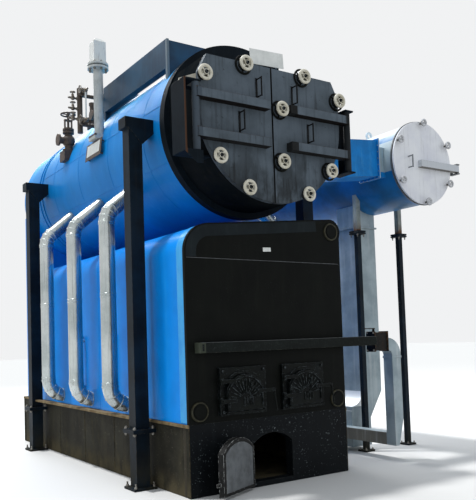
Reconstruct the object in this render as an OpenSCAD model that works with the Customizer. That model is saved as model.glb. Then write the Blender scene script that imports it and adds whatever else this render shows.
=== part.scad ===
// Solid-fuel steam boiler: a membrane-wall furnace on an ash pit, a fire-tube shell carried
// over it on columns, and an air preheater with its ducts beside it. Millimetres, +Z up,
// +Y from the front to the back; the origin is on the ground, under the middle of the front.

/* [Ash pit] */
// Width of the ash pit and of the furnace that stands on it
pit_w = 1970; // [1800:10:2200]
// Length of the ash pit from front to back
pit_l = 5150; // [4700:10:5600]
// Height of the ash pit, where the furnace starts
pit_h = 680; // [620:10:760]
// Thickness of the brick-lined walls of the ash pit
pit_wall = 115; // [90:5:150]
// Thickness of the floor of the ash pit
pit_floor = 40; // [20:5:60]
// Width of the arched ash opening
ash_w = 495; // [400:5:560]
// Distance of the ash opening's middle to the left of the boiler's middle
ash_off = 18; // [0:2:60]
// Height of the ash opening's sill over the ground
ash_sill = 50; // [45:5:90]
// Height of the ash opening's arch at its springing
ash_spring = 420; // [360:10:430]
// Rise of the ash opening's arch
ash_rise = 100; // [60:10:110]
// Thickness of the ash door
ash_door_t = 60; // [40:5:80]

/* [Furnace] */
// Depth of the rear chamber behind the furnace
rear_l = 300; // [200:10:500]
// Thickness of the insulated furnace wall
furn_wall = 90; // [60:5:120]
// Thickness of the furnace front plate
front_t = 40; // [25:5:60]
// Radius of the rounded top left edge
roof_r = 285; // [220:5:340]
// Slope of the furnace roof, rising to the right
roof_slope = 5; // [2:0.5:8]
// Height of the top right header's middle
header_top_z = 2610; // [2400:10:2630]
// Distance of the top right header from the boiler's middle
header_top_x = 860; // [820:5:880]
// Height of the two bottom headers' middle over the ash pit
header_low_z = 115; // [110:5:160]
// Outer radius of the wall headers
header_r = 85; // [70:5:95]
// Radius of the rounded corner round each header
lobe_r = 140; // [125:5:150]

/* [Fire doors] */
// Width of a fire door frame
fire_frame_w = 540; // [500:10:560]
// Height of a fire door frame
fire_frame_h = 460; // [420:10:500]
// Thickness of a fire door frame
fire_frame_t = 45; // [30:5:60]
// Width of the fire hole
fire_hole_w = 360; // [320:10:380]
// Height of the fire hole's straight sides
fire_hole_h = 200; // [160:10:220]
// Rise of the fire hole's arch
fire_hole_rise = 90; // [60:10:100]
// Distance between the middles of the two fire doors
fire_pitch = 757; // [720:10:800]
// Thickness of a fire door
fire_door_t = 35; // [25:5:45]

/* [Shell] */
// Outer radius of the shell
shell_r = 930; // [880:10:960]
// Height of the shell's underside over the ground
shell_low = 2780; // [2750:10:2870]
// Distance of the shell's front tube plate from the furnace front
shell_y = 400; // [380:10:450]
// Length of the shell between its tube plates
shell_l = 3900; // [3700:10:4000]
// Height of the black front flange over the shell
flange_h = 18; // [10:2:40]
// Width of the front flange along the shell
flange_l = 100; // [60:10:120]
// Step from the shell's radius down to the smokebox's
smoke_step = 50; // [30:5:70]
// Thickness of the smokebox wall
smoke_wall = 12; // [8:1:20]
// Distance of the smokebox's front edge ahead of the furnace front
smoke_y = 130; // [110:10:150]
// Height of the smokebox's flat top over the shell's middle
smoke_top = 505; // [480:5:520]

/* [Smokebox doors] */
// Thickness of a smokebox door
leaf_t = 55; // [40:5:60]
// Distance of the joint between the leaves to the left of the boiler's middle
leaf_joint = 22; // [20:1:30]
// Height of a door beam
beam_h = 88; // [70:2:100]
// Depth of a door beam
beam_d = 95; // [80:5:100]
// Height of the upper beam's middle over the shell's middle
beam_up = 85; // [70:5:100]
// Depth of the lower beam's middle under the shell's middle
beam_low = 295; // [270:5:320]
// Distance of the door hinges out from the smokebox's side
hinge_out = 70; // [65:5:90]
// Outer diameter of a handwheel
wheel_d = 158; // [140:2:160]

/* [Columns and pipes] */
// Width of a column
col_w = 150; // [120:10:180]
// Distance of a column's inner face from the boiler's middle
col_x = 1060; // [1050:5:1100]
// Height of a column's bracket over the shell's middle
col_up = 75; // [40:5:120]
// Height of a column's bracket
col_arm = 110; // [90:5:220]
// Distance of the front columns' front face from the furnace front
col_y1 = 683; // [600:10:760]
// Distance of the rear columns' front face from the furnace front
col_y2 = 4030; // [3950:10:4050]
// Outer diameter of a clad downcomer
pipe_d = 175; // [150:5:190]
// Distance of the downcomers' vertical run from the boiler's middle
pipe_x = 1165; // [1150:5:1200]
// Distance of the first downcomer from the furnace front
pipe_y = 1400; // [1300:10:1500]
// Distance from one downcomer to the next
pipe_pitch = 1020; // [950:10:1050]

/* [Top fittings] */
// Distance of the platform frame's outer faces from the boiler's middle
frame_x = 750; // [650:10:800]
// Distance of the platform frame from the front tube plate
frame_off = 295; // [120:5:400]
// Length of the platform frame along the shell
frame_l = 1675; // [1000:5:1690]
// Height of the platform frame's top over the shell's top
frame_rise = 62; // [50:2:170]
// Height of the platform frame's channel
frame_h = 315; // [200:5:360]
// Radius of the level controller's standpipe
stand_r = 60; // [40:5:80]
// Distance of the standpipe's middle in from the shell's side
stand_in = 40; // [30:5:70]
// Distance of the standpipe behind the front tube plate
stand_off = 1800; // [1600:10:2000]
// Height of the standpipe
stand_h = 830; // [500:10:900]
// Distance of the safety valves behind the front tube plate
safe_off = 3050; // [2800:10:3200]
// Distance of the stop valve behind the front tube plate
stop_off = 2950; // [2700:10:3200]
// Width of the number plate along the shell
plate_w = 480; // [300:10:600]

/* [Preheater] */
// Outer radius of the preheater vessel
pre_r = 497; // [480:1:530]
// Distance of the vessel's middle from the boiler's middle
pre_x = 2390; // [2380:5:2500]
// Height of the vessel's middle over the ground
pre_z = 3548; // [3500:2:3600]
// Length of the vessel
pre_l = 3400; // [3000:10:3600]
// Thickness of the preheater's round cover
cover_t = 20; // [15:1:25]
// Width of a preheater post
post_w = 62; // [50:2:120]
// Distance between the two posts of a pair
post_span = 755; // [700:5:800]
// Height of the posts' bolted joint over the ground
post_h = 2800; // [2600:10:2900]
// Distance of the front pair of posts from the furnace front
post_front = 770; // [700:10:780]
// Distance of the rear pair of posts from the vessel's rear end
post_rear = 450; // [300:10:600]

/* [Air ducts] */
// Width of the downward duct
duct_w = 340; // [260:10:360]
// Depth of the downward duct from front to back
duct_d = 350; // [300:10:380]
// Distance of the downward duct's front face behind the posts
duct_off = 100; // [90:5:200]
// Width of the low duct and of the riser
low_w = 140; // [100:10:160]
// Height of the low duct's top over the ground
low_h = 320; // [260:10:340]
// Distance of the low duct's right face from the boiler's middle
low_right = 1880; // [1800:5:1890]
// Depth of the riser from front to back
riser_d = 140; // [100:10:200]
// Radius of the riser's rounded elbow
elbow_r = 200; // [140:10:220]
// Width of the damper box
damper_w = 215; // [150:5:260]
// Size of the air bar's square section
bar_s = 100; // [80:5:110]
// Height of the air bar's middle over the ground
bar_z = 1402; // [1380:10:1450]

/* [Hidden] */

$fn = 96;
eps = 0.5;          // overlap of solids that are joined into one
seat_gap = 0.3;     // gap of a curved face that seats on another piece
door_gap = 5;       // gap between a moving door and what it closes
pin_gap = 0.5;      // radial gap of a hinge sleeve round its pin
half_w = pit_w / 2;
shell_z = shell_low + shell_r;           // height of the shell's middle
frame_top = shell_r + frame_rise;        // height of the platform frame over the shell's middle
stand_x = shell_r - stand_in;            // distance of the standpipe from the boiler's middle
ash_x = -ash_off;
furn_l = pit_l - rear_l;
flange_r = shell_r + flange_h;
smoke_r = shell_r - smoke_step;
smoke_l = smoke_y + shell_y;
hinge_x = smoke_r + hinge_out;
leaf_y = -smoke_y - door_gap;            // inner face of the smokebox doors
leaf_face = leaf_y - leaf_t;             // outer face of the smokebox doors
hinge_y = leaf_face - beam_d / 2;        // axis of the smokebox door hinges
hinge_pin_r = 20;
hinge_sleeve_r = 36;
bracket_t = 15;
bracket_top = 200;
bracket_low = 485;
roof_n = [-sin(roof_slope), cos(roof_slope)];
roof_c = [-half_w + roof_r,
    header_top_z + (lobe_r - roof_r - (-half_w + roof_r - header_top_x) * roof_n[0]) / roof_n[1]];
header_low = pit_h + header_low_z;
header_low_x = half_w - 118;
headers = [[header_top_x, header_top_z], [-header_low_x, header_low], [header_low_x, header_low]];
fire_z = pit_h + 60;                     // underside of the fire door frames
fire_x = [-fire_pitch / 2 - 8, fire_pitch / 2 - 8];
fire_sill = fire_z + 70;
fire_hinge_x = fire_frame_w / 2 - 5;
fire_hinge_y = -fire_frame_t - door_gap - fire_door_t / 2;
fire_pin_r = 11;
ash_lap = 25;                            // overlap of the ash door round its opening
ash_hinge_x = ash_x - ash_w / 2 - ash_lap - 12;
ash_hinge_y = -8 - ash_door_t / 2;
ash_pin_r = 11;
ash_hinge_z = [140, 350];
ash_open = 156;                          // how far the ash door stands open, in degrees
fire_hinge_z = [140, 330];
pipe_bend_z = 2900;
pipe_rise = 365;
smoke_clip = [95, 180];  // width and height of the clipped top corners
wheel_in = 27;          // distance of the lower screws in from the smokebox's edge
seam = 7;               // half the gap between the two smokebox doors
col_top = shell_z + col_up;
frame_y = shell_y + frame_off;
frame_z = shell_z + frame_top - frame_h;
stand_y = shell_y + stand_off;
cover_y = -10;                           // inner face of the preheater cover
cover_hinge_x = pre_x + pre_r + 100;
cover_arm_z = pre_z - 23;
cover_hinge_y = cover_y - cover_t - 30;
post_y = [post_front, pre_l - post_rear];
post_plate = 150;
duct_y = post_front + duct_off;
duct_x = pre_x - 310;
low_x = low_right - low_w;
low_z = 180;             // underside of the low duct and of the riser
bar_in = 85;            // distance of the air bar's left end in from the furnace's side
bar_end = 1405;         // right end of the air bar, where the damper box starts
riser_top = bar_z + 23;

// Solid of a drawing in the X-Z plane, from y0 back over t
module slab_y(y0, t) {
    translate([0, y0 + t, 0]) rotate([90, 0, 0]) linear_extrude(t) children();
}

// Round bar along Y from y0 over l, about (x, z)
module round_y(x, z, r, y0, l) {
    translate([x, y0, z]) rotate([-90, 0, 0]) cylinder(r = r, h = l, $fn = r > 300 ? 288 : 96);
}

// Straight round bar between two points
module round_between(a, b, r) {
    d = b - a;
    l = norm(d);
    translate(a) rotate([0, acos(d[2] / l), atan2(d[1], d[0])]) cylinder(r = r, h = l);
}

// Clad pipe in the X-Z plane at y through points [x, z], with a smooth bend at each inner
// point and a band of the cladding over each end of a bend
module bent_pipe(points, y, bend, r) {
    band = 40;
    last = len(points) - 1;
    dirs = [for (i = [0 : last - 1]) (points[i + 1] - points[i]) / norm(points[i + 1] - points[i])];
    angles = [for (d = dirs) atan2(d[1], d[0])];
    turns = [for (i = [1 : last - 1]) angles[i] - angles[i - 1]];
    cuts = [0, for (t = turns) bend * tan(abs(t) / 2), 0];
    translate([0, y, 0]) rotate([90, 0, 0]) {
        for (i = [0 : last - 1])
            translate(points[i] + dirs[i] * cuts[i]) rotate([0, 90, angles[i]]) {
                l = norm(points[i + 1] - points[i]) - cuts[i] - cuts[i + 1];
                cylinder(r = r, h = l);
                if (i > 0) translate([0, 0, -band / 2]) cylinder(r = r + 3, h = band);
                if (i < last - 1) translate([0, 0, l - band / 2]) cylinder(r = r + 3, h = band);
            }
        for (i = [1 : last - 1]) {
            side = turns[i - 1] > 0 ? 1 : -1;
            a = angles[i - 1] - side * 90;
            start = points[i] - dirs[i - 1] * cuts[i];
            translate(start - bend * [cos(a), sin(a)]) rotate(side > 0 ? a : a + turns[i - 1])
                rotate_extrude(angle = abs(turns[i - 1])) translate([bend, 0]) circle(r);
        }
    }
}

// Height of the shell's surface at a distance x from its middle
function shell_side(x) = shell_z + sqrt(pow(shell_r, 2) - pow(x, 2));

// Round cut that seats a piece on the shell, from y0 back over l
module shell_cut(y0, l) {
    round_y(0, shell_z, shell_r + seat_gap, y0, l);
}

// Opening with straight sides under a segmental arch
module arch_2d(w, h, rise) {
    r = (w * w / 4 + rise * rise) / (2 * rise);
    translate([-w / 2, 0]) square([w, h]);
    intersection() {
        translate([0, h + rise - r]) circle(r);
        translate([-w / 2, h - eps]) square([w, rise + 2 * eps]);
    }
}

// Furnace section with a rounded left top edge and a sloping roof, t inside the outer one
module furnace_2d(t) {
    top_r = lobe_r - t;
    translate(roof_c) circle(roof_r - t);
    translate([header_top_x, header_top_z]) circle(top_r);
    polygon([[-half_w + t, pit_h], [half_w - t, pit_h], [half_w - t, header_top_z],
        [header_top_x, header_top_z] + roof_n * top_r, roof_c + roof_n * (roof_r - t),
        [-half_w + t, roof_c[1]]]);
}

// Smokebox section: round below, with upright sides and clipped corners up to a flat top
module smokebox_2d(t) {
    side = smoke_r - t;
    translate([0, shell_z]) {
        intersection() {
            circle(side, $fn = 288);
            translate([-side, -side]) square([2 * side, side + 100]);
        }
        smokebox_top_2d(t);
    }
}

// Upper half of the smokebox section, from the middle of the shell
module smokebox_top_2d(t) {
    side = smoke_r - t;
    polygon([[-side, 0], [-side, smoke_top - smoke_clip[1]], [-side + smoke_clip[0], smoke_top - t],
        [side - smoke_clip[0], smoke_top - t], [side, smoke_top - smoke_clip[1]], [side, 0]]);
}

// Ash pit

module ash_pit_front() {
    color("#2e2522") difference() {
        translate([-half_w, 0, 0]) cube([pit_w, pit_wall, pit_h]);
        translate([ash_x, 0, ash_sill]) slab_y(-1, pit_wall + 2) arch_2d(ash_w, ash_spring - ash_sill, ash_rise);
    }
}

module ash_pit_side_walls() {
    color("#2e2522") for (s = [-1, 1])
        translate([s < 0 ? -half_w : half_w - pit_wall, pit_wall, 0])
            cube([pit_wall, pit_l - 2 * pit_wall, pit_h]);
}

module ash_pit_back_wall() {
    color("#2e2522") translate([-half_w, pit_l - pit_wall, 0]) cube([pit_w, pit_wall, pit_h]);
}

module ash_pit_floor() {
    color("#3a332e") translate([-half_w + pit_wall, pit_wall, 0])
        cube([pit_w - 2 * pit_wall, pit_l - 2 * pit_wall, pit_floor]);
}

// Grate of long bars on cross bearers, level with the top of the ash pit
module grate_bars() {
    inner = pit_w - 2 * pit_wall;
    bars = 24;
    pitch = inner / bars;
    bar_h = 50;
    color("#3b3836") {
        for (i = [0 : bars - 1])
            translate([-inner / 2 + (i + 0.2) * pitch, pit_wall, pit_h - bar_h])
                cube([pitch * 0.6, pit_l - 2 * pit_wall, bar_h]);
        for (y = [pit_wall + 60 : (pit_l - 2 * pit_wall - 200) / 4 : pit_l - pit_wall - 100])
            translate([-inner / 2, y, pit_h - bar_h - 60]) cube([inner, 60, 60 + eps]);
    }
}

module ash_door_hinges() {
    color("#241f1d") for (z = ash_hinge_z) {
        for (dz = [-34, 22])
            translate([ash_hinge_x - 12, ash_hinge_y - 12, z + dz]) cube([24, 12 - ash_hinge_y, 12]);
        translate([ash_hinge_x, ash_hinge_y, z - 30]) cylinder(r = ash_pin_r, h = 60);
    }
}

// Ash door about its hinge, turned from its opening to lie open beside it
module ash_door() {
    sleeve_r = 19;
    leaf_w = ash_w + 2 * ash_lap;
    color("#57565a") translate([ash_hinge_x, ash_hinge_y, 0]) rotate(-ash_open) difference() {
        union() {
            translate([12 + leaf_w / 2, 0, ash_sill - 20]) slab_y(-ash_door_t / 2, ash_door_t)
                arch_2d(leaf_w, ash_spring - ash_sill + 20, ash_rise + 20);
            for (z = ash_hinge_z) {
                translate([0, 0, z - 20]) cylinder(r = sleeve_r, h = 40);
                translate([0, -12, z - 20]) cube([40, 24, 40]);
            }
            translate([leaf_w - 30, -ash_door_t / 2 + 6, 130]) cube([90, 18, 30]);
        }
        for (z = ash_hinge_z) {
            translate([0, 0, z - 60]) cylinder(r = ash_pin_r + pin_gap, h = 120);
            for (dz = [-42, 20]) translate([-25, -40, z + dz]) cube([50, 80, 22]);
        }
    }
}

// Furnace

module fire_holes() {
    for (x = fire_x) translate([x, 0, fire_sill])
        slab_y(-fire_frame_t - 1, front_t + fire_frame_t + 2)
        arch_2d(fire_hole_w, fire_hole_h, fire_hole_rise);
}

module furnace_front_plate() {
    color("#1b1a1d") difference() {
        union() {
            slab_y(0, front_t) furnace_2d(0);
            for (s = [-1, 1]) round_y(s * header_low_x, header_low, header_low - pit_h, 0, front_t);
        }
        for (p = headers) round_y(p[0], p[1], header_r + seat_gap, -1, front_t + 2);
        fire_holes();
    }
}

module furnace_casing() {
    color("#1c7fd6") difference() {
        slab_y(front_t, furn_l - front_t) difference() {
            furnace_2d(10);
            furnace_2d(furn_wall);
        }
        for (p = headers) round_y(p[0], p[1], header_r + seat_gap, front_t - 1, furn_l);
    }
}

// Headers in the corners of the casing, with their ends through the front plate
module wall_headers() {
    end_l = 12;
    color("#211f20") for (p = headers) {
        round_y(p[0], p[1], header_r, -end_l, furn_l + end_l);
        round_y(p[0], p[1], header_r - 22, -end_l - 6, 6 + eps);
    }
}

// Cast frames with hinge lugs, a ledge under each door and a raised arch over it
module fire_door_frames() {
    ledge = [430, 28, 20];
    arch_w = fire_hole_w + 60;
    color("#232227") {
        difference() {
            for (x = fire_x) translate([x - fire_frame_w / 2, -fire_frame_t, fire_z])
                cube([fire_frame_w, fire_frame_t, fire_frame_h]);
            fire_holes();
        }
        for (x = fire_x) {
            translate([x - ledge[0] / 2, -fire_frame_t - ledge[1], fire_z + 12])
                cube([ledge[0], ledge[1] + eps, ledge[2]]);
            intersection() {
                translate([x, 0, fire_sill]) slab_y(-fire_frame_t - 14, 14 + eps) difference() {
                    arch_2d(arch_w + 70, fire_hole_h, fire_hole_rise + 65);
                    arch_2d(arch_w + 20, fire_hole_h, fire_hole_rise + 40);
                }
                translate([x - fire_frame_w / 2, -fire_frame_t - 50, fire_z + fire_hinge_z[1] + 30])
                    cube([fire_frame_w, 100, 100]);
            }
        }
        for (x = fire_x, z = fire_hinge_z, dz = [-34, 22])
            translate([x - fire_hinge_x - 14, fire_hinge_y - 14, fire_z + z + dz])
                cube([28, -fire_hinge_y - fire_frame_t + 14 + eps, 12]);
        for (x = fire_x, z = fire_hinge_z)
            translate([x - fire_hinge_x, fire_hinge_y, fire_z + z - 30])
                cylinder(r = fire_pin_r, h = 60);
    }
}

// Fire door leaf with hinge straps, a grip, draught louvres and a lift latch with its handle;
// x is the middle of its frame
module fire_door(x) {
    leaf_w = fire_hole_w + 60;
    face = fire_hinge_y - fire_door_t / 2;
    strap = [14, 36];
    latch_z = fire_z + 200;
    color("#28272c") difference() {
        union() {
            translate([x, 0, fire_sill - 30])
                slab_y(face, fire_door_t) arch_2d(leaf_w, fire_hole_h + 30, fire_hole_rise + 30);
            for (z = fire_hinge_z) {
                translate([x - fire_hinge_x, fire_hinge_y, fire_z + z - 20]) cylinder(r = 18, h = 40);
                translate([x - fire_hinge_x, face - strap[0], fire_z + z - strap[1] / 2])
                    cube([fire_hinge_x - leaf_w / 2 + 95, fire_door_t + strap[0], strap[1]]);
            }
            translate([x + 56, face - 22, fire_z + 235]) cube([14, 22 + eps, 75]);
            for (i = [0 : 3]) translate([x - 20 + i * 32, face - 9, fire_z + 85]) cube([8, 9 + eps, 80]);
            translate([x + leaf_w / 2 - 70, face - strap[0], latch_z])
                cube([fire_frame_w / 2 - leaf_w / 2 + 150, strap[0] + eps, 34]);
            translate([x + fire_frame_w / 2 + 62, face - strap[0] - 16, latch_z + 17]) rotate([-90, 0, 0])
                cylinder(r = 24, h = 30);
            round_between([x + fire_frame_w / 2 + 62, face - strap[0] - 8, latch_z + 10],
                [x + fire_frame_w / 2 + 88, face - strap[0] - 8, fire_z + 10], 8);
        }
        for (z = fire_hinge_z) {
            translate([x - fire_hinge_x, fire_hinge_y, fire_z + z - 50])
                cylinder(r = fire_pin_r + pin_gap, h = 100);
            for (dz = [-40, 20])
                translate([x - fire_hinge_x - 30, fire_hinge_y - 40, fire_z + z + dz])
                    cube([60, 80, 20]);
        }
    }
}

module fire_door_left() {
    fire_door(fire_x[0]);
}

module fire_door_right() {
    fire_door(fire_x[1]);
}

// Square air pipe across the furnace front, to the damper box
module air_bar() {
    left = -half_w + bar_in;
    color("#3a3a3e") translate([left, -bar_s, bar_z - bar_s / 2]) cube([bar_end - left, bar_s, bar_s]);
}

// Damper box with flanged ends and its lever on top
module damper_box() {
    depth = 140;
    body_h = 230;
    low = riser_top - low_w - 10;
    flange = 12;
    lever_x = bar_end + 50;
    color("#5b3a22") {
        translate([bar_end + flange - eps, flange - depth / 2, low + flange])
            cube([damper_w - 2 * flange + 2 * eps, depth - 2 * flange, body_h - 2 * flange]);
        for (x = [bar_end, bar_end + damper_w - flange])
            translate([x, -depth / 2, low]) cube([flange, depth, body_h]);
        translate([lever_x, 0, low + body_h - flange - eps]) cylinder(r = 14, h = 50);
        translate([bar_end - 80, -14, low + body_h + 28]) cube([lever_x - bar_end + 94, 28, 10]);
    }
}

// Chamber that leads the gas from the furnace up into the shell
module rear_chamber() {
    half = shell_r - 5;
    color("#1c7fd6") difference() {
        translate([-half, furn_l, pit_h]) cube([2 * half, rear_l, shell_z - 250 - pit_h]);
        shell_cut(furn_l - 1, rear_l + 2);
    }
}

// Shell

module shell_drum() {
    color("#1c7fd6") round_y(0, shell_z, shell_r, shell_y + 20, shell_l - 20);
}

module shell_front_flange() {
    color("#17161a") difference() {
        round_y(0, shell_z, flange_r, shell_y, flange_l);
        round_y(0, shell_z, shell_r + seat_gap, shell_y - 1, flange_l + 2);
    }
}

// Front tube plate with the ends of its fire tubes
module front_tube_plate() {
    tube_r = 32;
    pitch = 95;
    reach = smoke_r - smoke_wall - 90;
    color("#4a4038") {
        round_y(0, shell_z, shell_r, shell_y, 20);
        for (i = [-8 : 8], j = [-8 : 4]) {
            x = (i + (j % 2 == 0 ? 0 : 0.5)) * pitch;
            z = j * pitch * 0.866;
            if (norm([x, z]) < reach) difference() {
                round_y(x, shell_z + z, tube_r, shell_y - 12, 12 + eps);
                round_y(x, shell_z + z, tube_r - 5, shell_y - 13, 12);
            }
        }
    }
}

module smokebox() {
    color("#1b1a1d") difference() {
        smokebox_block(0, 0);
        smokebox_block(smoke_wall, 1);
    }
}

// Solid block of the smokebox, t inside its skin, and longer at both ends by more
module smokebox_block(t, more) {
    side = smoke_r - t;
    y0 = -smoke_y - more;
    l = smoke_l + 2 * more;
    difference() {
        round_y(0, shell_z, side, y0, l);
        translate([-side - 1, y0 - 1, shell_z + 100]) cube([2 * side + 2, l + 2, side]);
    }
    slab_y(y0, l) translate([0, shell_z]) smokebox_top_2d(t);
}

// Screws that hold the smokebox doors, as [x, z over the shell's middle]
function screws(side) = concat([
    [side * (smoke_r - 37), smoke_top - 215], [side * 367, smoke_top - 35],
    [side * (smoke_r - wheel_in) * cos(35), -(smoke_r - wheel_in) * sin(35)],
    [side * (smoke_r - wheel_in) * cos(64), -(smoke_r - wheel_in) * sin(64)]],
    side < 0 ? [] : [for (z = [80, -460]) [wheel_d / 2 - leaf_joint + 5, z]]);

// One leaf of the smokebox door, on the left for side = -1 and on the right for 1
module smokebox_door(side) {
    edge = -leaf_joint + side * seam;
    inner = side < 0 ? -110 : 150;
    boss = [55, 38, 20];
    color("#4a4b55") {
        slab_y(leaf_face, leaf_t) intersection() {
            smokebox_2d(0);
            translate([side < 0 ? -half_w * 2 : edge, 0])
                square([side < 0 ? half_w * 2 + edge : half_w * 2, shell_z + smoke_r + 1000]);
        }
        difference() {
            union() {
                for (z = [beam_up, -beam_low])
                    translate([side < 0 ? -hinge_x : inner, leaf_face - beam_d, shell_z + z - beam_h / 2])
                        cube([hinge_x - abs(inner), beam_d, beam_h]);
                translate([side * hinge_x, hinge_y, shell_z - bracket_low + bracket_t + door_gap])
                    cylinder(r = hinge_sleeve_r,
                        h = bracket_top + bracket_low - 2 * (bracket_t + door_gap));
            }
            translate([side * hinge_x, hinge_y, shell_z - bracket_low])
                cylinder(r = hinge_pin_r + pin_gap, h = bracket_top + bracket_low);
        }
        for (p = screws(side)) difference() {
            round_y(p[0], shell_z + p[1], boss[0], leaf_face - boss[2], boss[2] + eps);
            round_y(p[0], shell_z + p[1], boss[1], leaf_face - boss[2] - 1, boss[2] + 1);
        }
        for (p = side < 0 ? [[-210, 260], [-428, -110]] : [[239, 255], [437, -118]])
            door_handle(p[0], shell_z + p[1]);
    }
}

// Rod handle on a flat strip, out from a door face
module door_handle(x, z) {
    grip_l = 180;
    reach = 90;
    rod_r = 8;
    strip = 8;
    for (dz = [-grip_l / 2, grip_l / 2]) round_y(x, z + dz, rod_r - 1, leaf_face - reach, reach + eps);
    translate([x, leaf_face - reach, z - grip_l / 2 - rod_r]) cylinder(r = rod_r, h = grip_l + 2 * rod_r);
    translate([x - rod_r - 2, leaf_face - strip, z - grip_l / 2 - 15])
        cube([2 * rod_r + 4, strip + eps, grip_l + 30]);
}

module smokebox_door_left() {
    smokebox_door(-1);
}

module smokebox_door_right() {
    smokebox_door(1);
}

// Handwheel on its screw, in front of the smokebox door at (x, z over the shell's middle)
module handwheel(x, z) {
    rim_r = 16;
    stand = 85;
    translate([x, leaf_face, shell_z + z]) rotate([90, 0, 0]) {
        cylinder(r = 14, h = stand);
        translate([0, 0, stand - rim_r]) {
            rotate_extrude() translate([wheel_d / 2 - rim_r, 0]) circle(rim_r, $fn = 24);
            translate([0, 0, -rim_r]) cylinder(r = 28, h = 2 * rim_r);
            for (a = [45 : 90 : 315]) rotate(a) translate([0, -9, -6])
                cube([wheel_d / 2 - rim_r, 18, 12]);
        }
    }
}

module handwheels_left() {
    color("#d9d4c0") for (p = screws(-1)) handwheel(p[0], p[1]);
}

module handwheels_right() {
    color("#d9d4c0") for (p = screws(1)) handwheel(p[0], p[1]);
}

// Hinge brackets on both sides of the smokebox, each with its pin. The left one is the wider
// and has gussets; the right one's web starts behind the hinge, clear of the opened leaf
module smokebox_hinge_brackets() {
    low = shell_z - bracket_low;
    high = shell_z + bracket_top;
    front = hinge_y - 38;
    back = -20;
    lug_x = hinge_x - 45;
    inner_x = 600;
    gusset = 10;
    color("#2a2526") for (side = [-1, 1]) mirror([side < 0 ? 1 : 0, 0, 0]) difference() {
        end_x = hinge_x + (side < 0 ? 140 : 70);
        web_y = side < 0 ? front : hinge_y + 25;
        union() {
            translate([end_x - bracket_t, web_y, low]) cube([bracket_t, back - web_y, high - low]);
            for (z = [low, high - bracket_t]) {
                translate([lug_x, front, z]) cube([end_x - lug_x, back - front, bracket_t]);
                translate([inner_x, -smoke_y, z]) cube([end_x - inner_x, back + smoke_y, bracket_t]);
            }
            translate([hinge_x, hinge_y, low]) cylinder(r = hinge_pin_r, h = high - low);
            if (side < 0) {
                translate([0, 0, high - eps]) slab_y(leaf_face + 10, gusset)
                    polygon([[lug_x, 0], [end_x, 0], [end_x, 15], [lug_x, 95]]);
                translate([0, 0, low + eps]) slab_y(front, gusset)
                    polygon([[lug_x, 0], [lug_x, -105], [lug_x + 60, -110], [end_x, -15], [end_x, 0]]);
            }
        }
        slab_y(-smoke_y - 1, smoke_y + back + 2) smokebox_2d(-seat_gap);
    }
}

module rear_smokebox() {
    color("#17161a") round_y(0, shell_z, shell_r, shell_y + shell_l, pit_l - shell_y - shell_l);
}

// Columns

// Box column with its bolted foot joint and its bracket to the shell, with a sloping gusset
module column(side, y) {
    plate = 250;
    plate_t = 20;
    joint_z = 580;
    arm_x = shell_r - 30;
    mid = [col_x + col_w / 2, y + col_w / 2];
    color("#17181c") mirror([side < 0 ? 1 : 0, 0, 0]) {
        translate([col_x, y, 0]) cube([col_w, col_w, col_top - col_arm + eps]);
        for (z = [0, joint_z - plate_t, joint_z])
            translate([mid[0] - plate / 2, mid[1] - plate / 2, z]) cube([plate, plate, plate_t + eps]);
        difference() {
            slab_y(y - 10, col_w + 20) polygon([[arm_x, col_top], [col_x + col_w + 40, col_top],
                [col_x + col_w + 40, col_top - col_arm], [col_x + col_w, col_top - col_arm],
                [col_x, col_top - col_arm - 160], [arm_x, col_top - col_arm - 9]]);
            shell_cut(y - 50, col_w + 100);
        }
    }
}

module columns_left() {
    for (y = [col_y1, col_y2]) column(-1, y);
}

module columns_right() {
    for (y = [col_y1, col_y2]) column(1, y);
}

// Rails between the columns, along both sides of the ash pit's top
module column_rails() {
    rail = [60, 24];
    back = col_y1 + col_w;
    color("#6b4229") for (side = [-1, 1])
        translate([side * (col_x + col_w / 2) - rail[0] / 2, back, pit_h])
            cube([rail[0], col_y2 - back, rail[1]]);
}

// Downcomer from the shell's side down past the furnace and into its bottom header
module downcomer(side, y) {
    mirror([side < 0 ? 1 : 0, 0, 0]) difference() {
        bent_pipe([[half_w - 200, header_low], [pipe_x, header_low], [pipe_x, pipe_bend_z],
            [shell_r - 200, pipe_bend_z + pipe_rise]], y, 200, pipe_d / 2);
        shell_cut(y - pipe_d, 2 * pipe_d);
        translate([0, y - pipe_d, 0]) cube([half_w - 10 + seat_gap, 2 * pipe_d, header_low + 200]);
    }
}

module downcomers_left() {
    color("#c9ccce") for (i = [0 : 2]) downcomer(-1, pipe_y + i * pipe_pitch);
}

module downcomers_right() {
    color("#c9ccce") for (i = [0 : 2]) downcomer(1, pipe_y + i * pipe_pitch);
}

// Top fittings

// Frame of channels that stands on the shell's shoulders on short legs
module platform_frame() {
    web = 12;
    flange = 80;
    leg = 30;
    back = frame_y + frame_l;
    color("#1c2f3f") difference() {
        union() {
            for (side = [-1, 1]) mirror([side < 0 ? 1 : 0, 0, 0]) {
                translate([frame_x - web, frame_y, frame_z]) cube([web, frame_l, frame_h]);
                for (z = [0, frame_h - web]) translate([frame_x - flange, frame_y, frame_z + z])
                    cube([flange, frame_l, web]);
                for (y = [frame_y - leg, back - web - leg])
                    translate([frame_x - leg, y, shell_z]) cube([leg, leg + eps, frame_top]);
            }
            for (y = [frame_y, back - web]) translate([-frame_x, y, frame_z - 120])
                cube([2 * frame_x, web, frame_h + 120]);
        }
        shell_cut(frame_y - 2 * leg, frame_l + 4 * leg);
    }
}

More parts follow.
